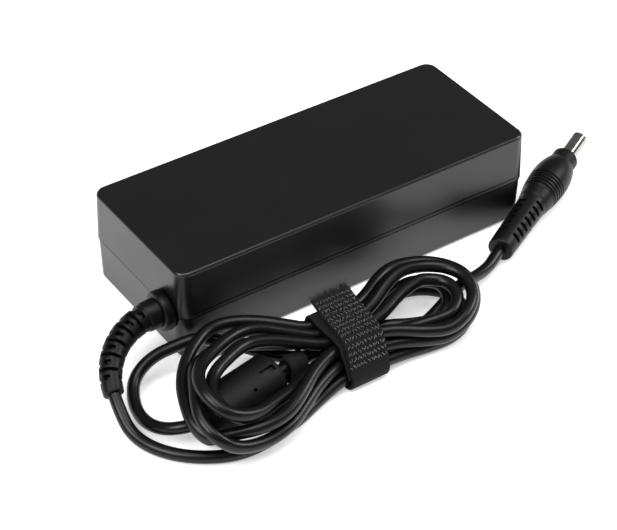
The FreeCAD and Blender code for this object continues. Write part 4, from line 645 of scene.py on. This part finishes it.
def holding_loop(name):
    """A stadium-shaped band: half circles above and below the strand, LOOP_DROP apart."""
    upper = np.radians(np.linspace(0, 180, 25))
    lower = np.radians(np.linspace(180, 360, 25))
    line = np.vstack([np.column_stack([np.cos(upper), np.sin(upper)]) * LOOP_RADIUS,
                      np.column_stack([np.cos(lower), np.sin(lower)]) * LOOP_RADIUS
                      - [0, LOOP_DROP]])
    line = evenly(np.vstack([line, line[:1]]), STRAP_STEP)
    made = band(name, line, LOOP_LENGTH / 2, LOOP_LENGTH, 1.0, wander=0.05)
    sideways = (-LOOP_WAY[1], LOOP_WAY[0], 0.0)
    made.data.transform(standing(LOOP_WAY, sideways, (0.0, 0.0, 1.0), LOOP_START))
    return made


loop = holding_loop("holding_loop")
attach(loop, "root")
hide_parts("tie_holding_loop")

# %% [markdown]
# The lead is 1.33 m of 3.9 mm cord that ends in its plug, wound up, with the pieces that ride on
# it.

print("lead made: cord, boot, handle and tie")

# %% [markdown]
# Finishes. One function reads a colour as it is written on screen, one starts a material, and one
# adds a shader node with its settings and links.

# %% Colour and node helpers
def linear(hex_colour):
    """An sRGB hex colour as linear red, green, blue and alpha."""
    channels = np.array([int(hex_colour[k:k + 2], 16) for k in (1, 3, 5)]) / 255
    low = channels / 12.92
    high = ((channels + 0.055) / 1.055) ** 2.4
    return (*np.where(channels <= 0.04045, low, high).tolist(), 1.0)


def fill(tree, item, sockets):
    """Set each socket, by name or number, to a number, or link another node's output to it."""
    for name, value in sockets.items():
        socket = item.inputs[name]
        if isinstance(value, bpy.types.NodeSocket):
            tree.links.new(value, socket)
        else:
            socket.default_value = value


def add(tree, kind, sockets, out=0, **settings):
    """Add a node of any kind, and give back one of its outputs."""
    item = tree.nodes.new("ShaderNode" + kind)
    for name, value in settings.items():
        setattr(item, name, value)
    fill(tree, item, sockets)
    return item.outputs[out]


def start_material(name, sockets):
    """A new material, its node tree and its Principled shader with the given numbers."""
    material = bpy.data.materials.new(name)
    material.use_nodes = True
    tree = material.node_tree
    shader = tree.nodes["Principled BSDF"]
    fill(tree, shader, sockets)
    return material, tree, shader


# %% [markdown]
# Moulded plastic takes its surface from the steel mould. The casing's mould was spark-eroded, so
# it has a fine even grain and a soft sheen, and soft PVC over-mouldings are smoother. A noise
# pattern at the real grain size drives the bump, and a slow one changes colour and gloss a
# little, as flow in the mould and handling do. The soft mouldings and the ferrite's cover look
# nearly black in the photograph, so their shine is set well below the usual 0.5.

# %% Moulded plastics
SEAM_SHADE_WIDTH = 0.4


def moulded(name, colour, lighter, roughness, grain_mm, height_mm, shine=0.5, seam_shade_mm=None):
    """Plastic with the mould's grain as bump, and clouds of colour and gloss 20 mm across.

    Where a seam height is given, a band of the seam's width there is painted black and dull:
    painted shade for the narrow gap between the two shells."""
    material, tree, shader = start_material(name, {"IOR": 1.5, "Specular IOR Level": shine})
    place = add(tree, "TexCoord", {}, "Object")
    grain = add(tree, "TexNoise", {"Vector": place, "Scale": 1 / (grain_mm * MM), "Detail": 2.0})
    clouds = add(tree, "TexNoise", {"Vector": place, "Scale": 50.0, "Detail": 3.0})
    tone = add(tree, "Mix", {0: clouds, 6: linear(colour), 7: linear(lighter)}, 2,
               data_type="RGBA")
    gloss = add(tree, "MapRange", {"Value": clouds, "To Min": roughness - 0.05,
                                   "To Max": roughness + 0.05})
    bump = add(tree, "Bump", {"Height": grain, "Distance": height_mm * MM})
    fill(tree, shader, {"Base Color": tone, "Roughness": gloss, "Normal": bump})
    # Painted shade: a black, dull band at the seam's height stands in for the shadow in the gap
    # between the shells.
    if seam_shade_mm is not None:
        height = add(tree, "SeparateXYZ", {"Vector": place}, "Z")
        seam_shade_mask = add(tree, "Math", {0: height, 1: seam_shade_mm * MM, 2: SEAM_SHADE_WIDTH / 2 * MM},
                      operation="COMPARE")
        dulled = add(tree, "MapRange", {"Value": seam_shade_mask, "To Min": shine, "To Max": 0.0})
        dark = add(tree, "Mix", {0: seam_shade_mask, 6: tone, 7: linear("#020202")}, 2, data_type="RGBA")
        fill(tree, shader, {"Base Color": dark, "Specular IOR Level": dulled})
    return material


casing_abs = moulded("casing_abs_spark_eroded", "#0b0b0c", "#0f0f10", 0.30, 0.45, 0.008,
                     seam_shade_mm=SEAM_HEIGHT)
boot_pvc = moulded("boot_pvc_moulded", "#060607", "#09090a", 0.42, 0.6, 0.010, 0.22)
cover_abs = moulded("cover_abs_moulded", "#060606", "#090909", 0.5, 0.5, 0.008, 0.22)
inlet_nylon = moulded("inlet_nylon_moulded", "#121213", "#18181a", 0.45, 0.4, 0.008)
white_nylon = moulded("white_nylon_moulded", "#cbcac4", "#dad9d4", 0.45, 0.4, 0.006)
bobbin_nylon = moulded("bobbin_phenolic_moulded", "#2a1f19", "#33261e", 0.5, 0.5, 0.008)
epoxy_black = moulded("epoxy_transfer_moulded", "#1c1c1d", "#242425", 0.55, 0.25, 0.006)
print("moulded plastics made")

# %% [markdown]
# The cord's jacket is PVC drawn through a die. It comes out smooth, with long slight waves along
# it instead of a grain, and a faint bloom that breaks up its narrow highlights. It is nearly
# black beside them in the photograph, so its shine is turned down too.

# %% Extruded jacket
def extruded(name, colour, lighter, roughness):
    """Smooth jacket: low waves 5 mm long, fine die lines, and a patchy bloom in its gloss."""
    material, tree, shader = start_material(name, {"IOR": 1.53, "Specular IOR Level": 0.26})
    place = add(tree, "TexCoord", {}, "Object")
    waves = add(tree, "TexNoise", {"Vector": place, "Scale": 200.0, "Detail": 1.0})
    bloom = add(tree, "TexNoise", {"Vector": place, "Scale": 90.0, "Detail": 4.0})
    tone = add(tree, "Mix", {0: bloom, 6: linear(colour), 7: linear(lighter)}, 2,
               data_type="RGBA")
    gloss = add(tree, "MapRange", {"Value": bloom, "To Min": roughness - 0.05,
                                   "To Max": roughness + 0.07})
    bump = add(tree, "Bump", {"Height": waves, "Distance": 0.05 * MM})
    fill(tree, shader, {"Base Color": tone, "Roughness": gloss, "Normal": bump})
    return material


jacket_pvc = extruded("jacket_pvc_extruded", "#070708", "#0b0b0c", 0.30)
sleeve_pvc = extruded("capacitor_sleeve_pvc_shrunk", "#17202b", "#1d2836", 0.28)
print("extruded jackets made")

# %% [markdown]
# The tie is woven nylon. Its felt side is a mat of brushed loops, so it shows little gloss but a
# soft bright edge, which the shader's sheen gives. The pattern sits on the piece's own UV map,
# which is in millimetres: threads 0.45 mm apart for the felt and 0.5 mm ribs for the webbing.

# %% Woven nylon
WAVE_REPEAT = 0.314   # a wave texture of scale 1 repeats every 0.314 units


def woven(name, colour, lighter, across_mm, along_mm, height_mm, fuzz):
    """Crossing rows of threads, broken up by noise; fuzz is how much of it is loose fibre."""
    material, tree, shader = start_material(name, {"Roughness": 0.85, "Sheen Weight": 0.02,
                                                   "Sheen Roughness": 0.4, "IOR": 1.53,
                                                   "Specular IOR Level": 0.25})
    flat = add(tree, "TexCoord", {}, "UV")
    wander = add(tree, "TexNoise", {"Vector": flat, "Scale": 1.6, "Detail": 4.0})
    weft = add(tree, "TexWave", {"Vector": flat, "Scale": WAVE_REPEAT / along_mm, "Distortion": 1.5,
                                 "Detail Scale": 1.5}, "Fac", bands_direction="Y")
    warp = add(tree, "TexWave", {"Vector": flat, "Scale": WAVE_REPEAT / across_mm,
                                 "Distortion": 1.5, "Detail Scale": 1.5}, "Fac",
               bands_direction="X")
    cloth = add(tree, "Math", {0: weft, 1: warp}, operation="MULTIPLY")
    rough = add(tree, "Mix", {0: fuzz, 2: cloth, 3: wander}, 0)
    tone = add(tree, "Mix", {0: rough, 6: linear(colour), 7: linear(lighter)}, 2,
               data_type="RGBA")
    bump = add(tree, "Bump", {"Height": rough, "Distance": height_mm * MM})
    fill(tree, shader, {"Base Color": tone, "Normal": bump})
    return material


felt = woven("loop_felt_nylon_brushed", "#060606", "#101011", 0.45, 0.45, 0.12, 0.7)
ground = woven("hook_tape_nylon_woven", "#050505", "#0d0d0e", 0.6, 0.6, 0.10, 0.3)
webbing = woven("webbing_nylon_ribbed", "#070708", "#111112", 3.0, 0.5, 0.10, 0.25)


def drawn_nylon(name, colour, lighter, roughness):
    """Single nylon threads: a smooth semi-gloss thread whose tone changes from one to the next."""
    material, tree, shader = start_material(name, {"Roughness": roughness, "IOR": 1.53})
    place = add(tree, "TexCoord", {}, "Object")
    each = add(tree, "TexNoise", {"Vector": place, "Scale": 900.0, "Detail": 1.0})
    tone = add(tree, "Mix", {0: each, 6: linear(colour), 7: linear(lighter)}, 2,
               data_type="RGBA")
    fill(tree, shader, {"Base Color": tone})
    return material


hook_nylon = drawn_nylon("hook_nylon_drawn", "#2e2e2f", "#6a6a6c", 0.25)
fluff_nylon = drawn_nylon("fluff_nylon_drawn", "#0c0c0d", "#1c1c1d", 0.5)
print("nylons made")

# %% [markdown]
# Metals. The plug's barrel is nickel-plated brass turned on a lathe: mirror-bright, with faint
# rings round its axis. The sheet-metal spreaders are rolled, with long lines along x, and the pins
# are tinned, which is whiter and softer. A metal keeps the default IOR.

# %% Metals
def plated(name, colour, darker, roughness, line_mm, turned, depth_mm):
    """Metal with fine lines: noise squeezed to line_mm along one turned axis, long across it."""
    material, tree, shader = start_material(name, {"Metallic": 1.0})
    place = add(tree, "TexCoord", {}, "Object")
    lines_at = add(tree, "Mapping", {"Vector": place, "Rotation": turned,
                                     "Scale": (1 / (line_mm * MM), 25.0, 25.0)},
                   vector_type="POINT")
    lines = add(tree, "TexNoise", {"Vector": lines_at, "Scale": 1.0, "Detail": 3.0})
    stains = add(tree, "TexNoise", {"Vector": place, "Scale": 250.0, "Detail": 3.0})
    tone = add(tree, "Mix", {0: stains, 6: linear(colour), 7: linear(darker)}, 2,
               data_type="RGBA")
    gloss = add(tree, "MapRange", {"Value": lines, "To Min": roughness - 0.04,
                                   "To Max": roughness + 0.06})
    bump = add(tree, "Bump", {"Height": lines, "Distance": depth_mm * MM})
    fill(tree, shader, {"Base Color": tone, "Roughness": gloss, "Normal": bump})
    return material


barrel_turn = (0.0, PLUG_PITCH, -PLUG_HEADING)
nickel = plated("barrel_nickel_plated", "#b9b7b4", "#a3a19d", 0.12, 0.12, barrel_turn, 0.001)
tin = plated("pin_brass_tinned", "#cfcfcb", "#b9b8b2", 0.28, 0.15, (0.0, 0.0, 0.0), 0.002)
sheet = plated("spreader_aluminium_rolled", "#c9cbcc", "#b4b6b8", 0.34, 0.2,
               (0.0, 0.0, math.pi / 2), 0.002)
zinc = plated("screw_steel_zinc_plated", "#b9bcbf", "#9fa3a8", 0.3, 0.1, (0.0, 0.0, 0.0), 0.001)
print("metals made")

# %% [markdown]
# Copper wire wound round a core shows as a rope of fine glossy turns under amber enamel. The
# turns are 0.5 mm thick, and bands of that pitch round each winding stand for them.

# %% Enamelled wire
def wound_wire(name, colour, shadow, wire_mm):
    """Rows of wire: a sine of the wire's pitch, dark between turns, under a clear enamel coat."""
    material, tree, shader = start_material(name, {"Metallic": 0.85, "Roughness": 0.3,
                                                   "Coat Weight": 0.6, "Coat Roughness": 0.12})
    place = add(tree, "TexCoord", {}, "Object")
    turns = add(tree, "TexWave", {"Vector": place, "Scale": WAVE_REPEAT / (wire_mm * MM),
                                  "Distortion": 0.6, "Detail Scale": 60.0}, "Fac",
                bands_direction="Z")
    tone = add(tree, "Mix", {0: turns, 6: linear(shadow), 7: linear(colour)}, 2,
               data_type="RGBA")
    bump = add(tree, "Bump", {"Height": turns, "Distance": wire_mm * 0.3 * MM})
    fill(tree, shader, {"Base Color": tone, "Normal": bump})
    return material


copper = wound_wire("winding_copper_enamelled", "#b5622b", "#4a1f0c", 0.5)
print("wire made")

# %% [markdown]
# The pieces inside are seen only when the casing is opened, yet each has its own stuff: a pressed
# and fired ferrite, painted ceramic discs, a boxed film capacitor, tape, film, rubber and board.
# The ferrite is seen only deep in the slot of its cover, so its near-black colour and low shine are
# partly its own and partly painted shade.

# %% Coated, fired and cast finishes
def mottled(name, colour, lighter, roughness, speck_mm, height_mm, numbers):
    """A speckled or clouded skin: one noise at the real speck size for colour, bump and gloss."""
    material, tree, shader = start_material(name, numbers)
    place = add(tree, "TexCoord", {}, "Object")
    specks = add(tree, "TexNoise", {"Vector": place, "Scale": 1 / (speck_mm * MM), "Detail": 4.0})
    tone = add(tree, "Mix", {0: specks, 6: linear(colour), 7: linear(lighter)}, 2,
               data_type="RGBA")
    gloss = add(tree, "MapRange", {"Value": specks, "To Min": roughness - 0.05,
                                   "To Max": roughness + 0.05})
    bump = add(tree, "Bump", {"Height": specks, "Distance": height_mm * MM})
    fill(tree, shader, {"Base Color": tone, "Roughness": gloss, "Normal": bump})
    return material


# Painted shade: the ferrite's colour and shine are set low for the shade deep in its cover's slot.
ferrite = mottled("ferrite_pressed_and_fired", "#0c0c0d", "#141415", 0.7, 0.3, 0.02,
                  {"IOR": 2.0, "Specular IOR Level": 0.15})
disc_paint = mottled("disc_phenolic_dipped", "#2b5f8a", "#35709d", 0.35, 1.5, 0.03, {"IOR": 1.55})
film_box = mottled("film_box_pbt_moulded", "#caa53a", "#d6b34d", 0.42, 0.5, 0.006, {"IOR": 1.55})
fuse_body = mottled("fuse_ceramic_glazed", "#d8d2c4", "#e2ddd2", 0.25, 2.0, 0.01, {"IOR": 1.52})
tape_polyester = mottled("winding_tape_polyester", "#c9a52a", "#d8b53c", 0.25, 3.0, 0.03,
                         {"IOR": 1.64, "Coat Weight": 0.3, "Coat Roughness": 0.2})
film_polyester = mottled("insulating_film_polyester", "#c8cbc4", "#d3d6cf", 0.3, 4.0, 0.02,
                         {"IOR": 1.64, "Transmission Weight": 0.25})
pad_silicone = mottled("pad_silicone_cast", "#8b8f96", "#9ca0a6", 0.7, 0.4, 0.02, {"IOR": 1.41})
print("coated finishes made")

# %% [markdown]
# The board is glass cloth set in epoxy under a green solder mask. The cloth's weave, about 0.6 mm,
# just shows through the mask, and the mask itself is glossy.

# %% Board laminate
CLOTH_PITCH = 0.6


def laminate(name, colour, lighter):
    """A plain weave seen through lacquer: two crossed waves for colour and a slight bump."""
    material, tree, shader = start_material(name, {"Roughness": 0.3, "IOR": 1.55})
    place = add(tree, "TexCoord", {}, "Object")
    rows_x = add(tree, "TexWave", {"Vector": place, "Scale": WAVE_REPEAT / (CLOTH_PITCH * MM)},
                 "Fac", bands_direction="X")
    rows_y = add(tree, "TexWave", {"Vector": place, "Scale": WAVE_REPEAT / (CLOTH_PITCH * MM)},
                 "Fac", bands_direction="Y")
    cloth = add(tree, "Math", {0: rows_x, 1: rows_y}, operation="MULTIPLY")
    tone = add(tree, "Mix", {0: cloth, 6: linear(colour), 7: linear(lighter)}, 2,
               data_type="RGBA")
    bump = add(tree, "Bump", {"Height": cloth, "Distance": 0.01 * MM})
    fill(tree, shader, {"Base Color": tone, "Normal": bump})
    return material


board = laminate("board_glass_epoxy_masked", "#1f4a2c", "#275a36")
print("board made")

# %% [markdown]
# Each CAD node comes with a plain material named for its slot in the record. A finish is chosen
# per slot, so all pieces of one stuff get the same one, and the pieces made here get theirs.

# %% Give out the finishes
FINISH = {
    "casing": casing_abs, "cord_jacket": jacket_pvc, "soft_moulding": boot_pvc,
    "cover_plastic": cover_abs, "hook_and_loop": webbing, "plated_metal": nickel,
    "inlet_plastic": inlet_nylon, "tinned_brass": tin, "board_laminate": board,
    "aluminium_sheet": sheet, "insulating_film": film_polyester, "silicone_pad": pad_silicone,
    "epoxy_package": epoxy_black, "ferrite_ceramic": ferrite, "enamelled_wire": copper,
    "capacitor_sleeve": sleeve_pvc, "film_capacitor": film_box, "disc_coating": disc_paint,
    "glass_fuse": fuse_body, "bobbin_plastic": bobbin_nylon, "winding_tape": tape_polyester,
    "steel_screw": zinc, "white_plastic": white_nylon,
}
for piece in NODES.values():
    piece.material_slots[0].material = FINISH[piece.material_slots[0].name]
for piece, finish in ((cord, jacket_pvc), (strap, felt), (tape, ground), (hooks, hook_nylon),
                      (fluff, fluff_nylon), (loop, webbing), (boot, boot_pvc), (handle, boot_pvc)):
    piece.data.materials.append(finish)
print("finishes given to", len(NODES), "CAD pieces")

# %% [markdown]
# The studio floor is ordinary white card for the object's light and shadow. A part of its
# brightness is for the camera and for reflections only, so that the background comes out white
# as in the photograph, while the object is lit at a plain level.

# %% Floor
FLOOR_WHITE = 0.45
FLOOR_HALF, FLOOR_DROP = 1500.0, 0.02


def studio_card(name):
    """White card: diffuse for every ray, plus its own white for camera and mirror rays."""
    material = bpy.data.materials.new(name)
    material.use_nodes = True
    tree = material.node_tree
    tree.nodes.clear()
    place = add(tree, "TexCoord", {}, "Object")
    paper = add(tree, "TexNoise", {"Vector": place, "Scale": 400.0, "Detail": 2.0})
    tone = add(tree, "Mix", {0: paper, 6: linear("#f1f1f1"), 7: linear("#f6f6f6")}, 2,
               data_type="RGBA")
    card = add(tree, "BsdfDiffuse", {"Color": tone})
    seen = add(tree, "LightPath", {}, "Is Camera Ray")
    mirrored = add(tree, "LightPath", {}, "Is Glossy Ray")
    through = add(tree, "LightPath", {}, "Is Transmission Ray")
    either = add(tree, "Math", {0: seen, 1: mirrored}, operation="ADD")
    any_ray = add(tree, "Math", {0: either, 1: through}, operation="ADD")
    white = add(tree, "Math", {0: any_ray, 1: FLOOR_WHITE}, operation="MULTIPLY")
    glow = add(tree, "Emission", {"Color": (1.0, 1.0, 1.0, 1.0), "Strength": white})
    both = add(tree, "AddShader", {0: card, 1: glow})
    end = tree.nodes.new("ShaderNodeOutputMaterial")
    tree.links.new(both, end.inputs["Surface"])
    return material


span = np.linspace(-FLOOR_HALF, FLOOR_HALF, 31)
across, along = np.meshgrid(span, span)
floor = surface("studio_floor", np.dstack([across, along, np.full_like(across, -FLOOR_DROP)]))
floor.data.materials.append(studio_card("studio_card"))


# %% [markdown]
# Black plastic shows only what it mirrors, so the light is large and soft. One square lamp stands
# high on the left and draws the long edge of the lid. A second hangs overhead, and a smaller one
# on the right opens up the front. The world is dim for the object and white for the camera.

# %% Lamps and world
WORLD_STRENGTH = 0.18


def soft_lamp(name, place_mm, aim_mm, size_mm, power):
    """A square lamp that faces its aim."""
    data = bpy.data.lights.new(name, "AREA")
    data.shape = "SQUARE"
    data.size = size_mm * MM
    data.energy = power
    back_way = np.array(place_mm, float) - np.array(aim_mm, float)
    back_way /= np.linalg.norm(back_way)
    side_way = np.cross([0.0, 1.0, 0.0], back_way)
    side_way /= np.linalg.norm(side_way)
    lamp = bpy.data.objects.new(name, data)
    bpy.context.scene.collection.objects.link(lamp)
    lamp.matrix_world = standing(side_way, np.cross(back_way, side_way), back_way, place_mm)


soft_lamp("lamp_high_left", (-900, -150, 1000), (-20, -20, 0), 700, 13.0)
soft_lamp("lamp_overhead", (100, -250, 1400), (0, -20, 0), 900, 12.0)
soft_lamp("lamp_right", (850, -300, 620), (60, -30, 0), 420, 5.0)
world = bpy.data.worlds.new("studio_world")
world.use_nodes = True
sky = world.node_tree.nodes["Background"]
seen = add(world.node_tree, "LightPath", {}, "Is Camera Ray")
strength = add(world.node_tree, "MapRange", {"Value": seen, "To Min": WORLD_STRENGTH,
                                             "To Max": 1.0})
fill(world.node_tree, sky, {"Color": (1.0, 1.0, 1.0, 1.0), "Strength": strength})
bpy.context.scene.world = world
bpy.context.scene.view_settings.view_transform = "Standard"
print("studio ready")
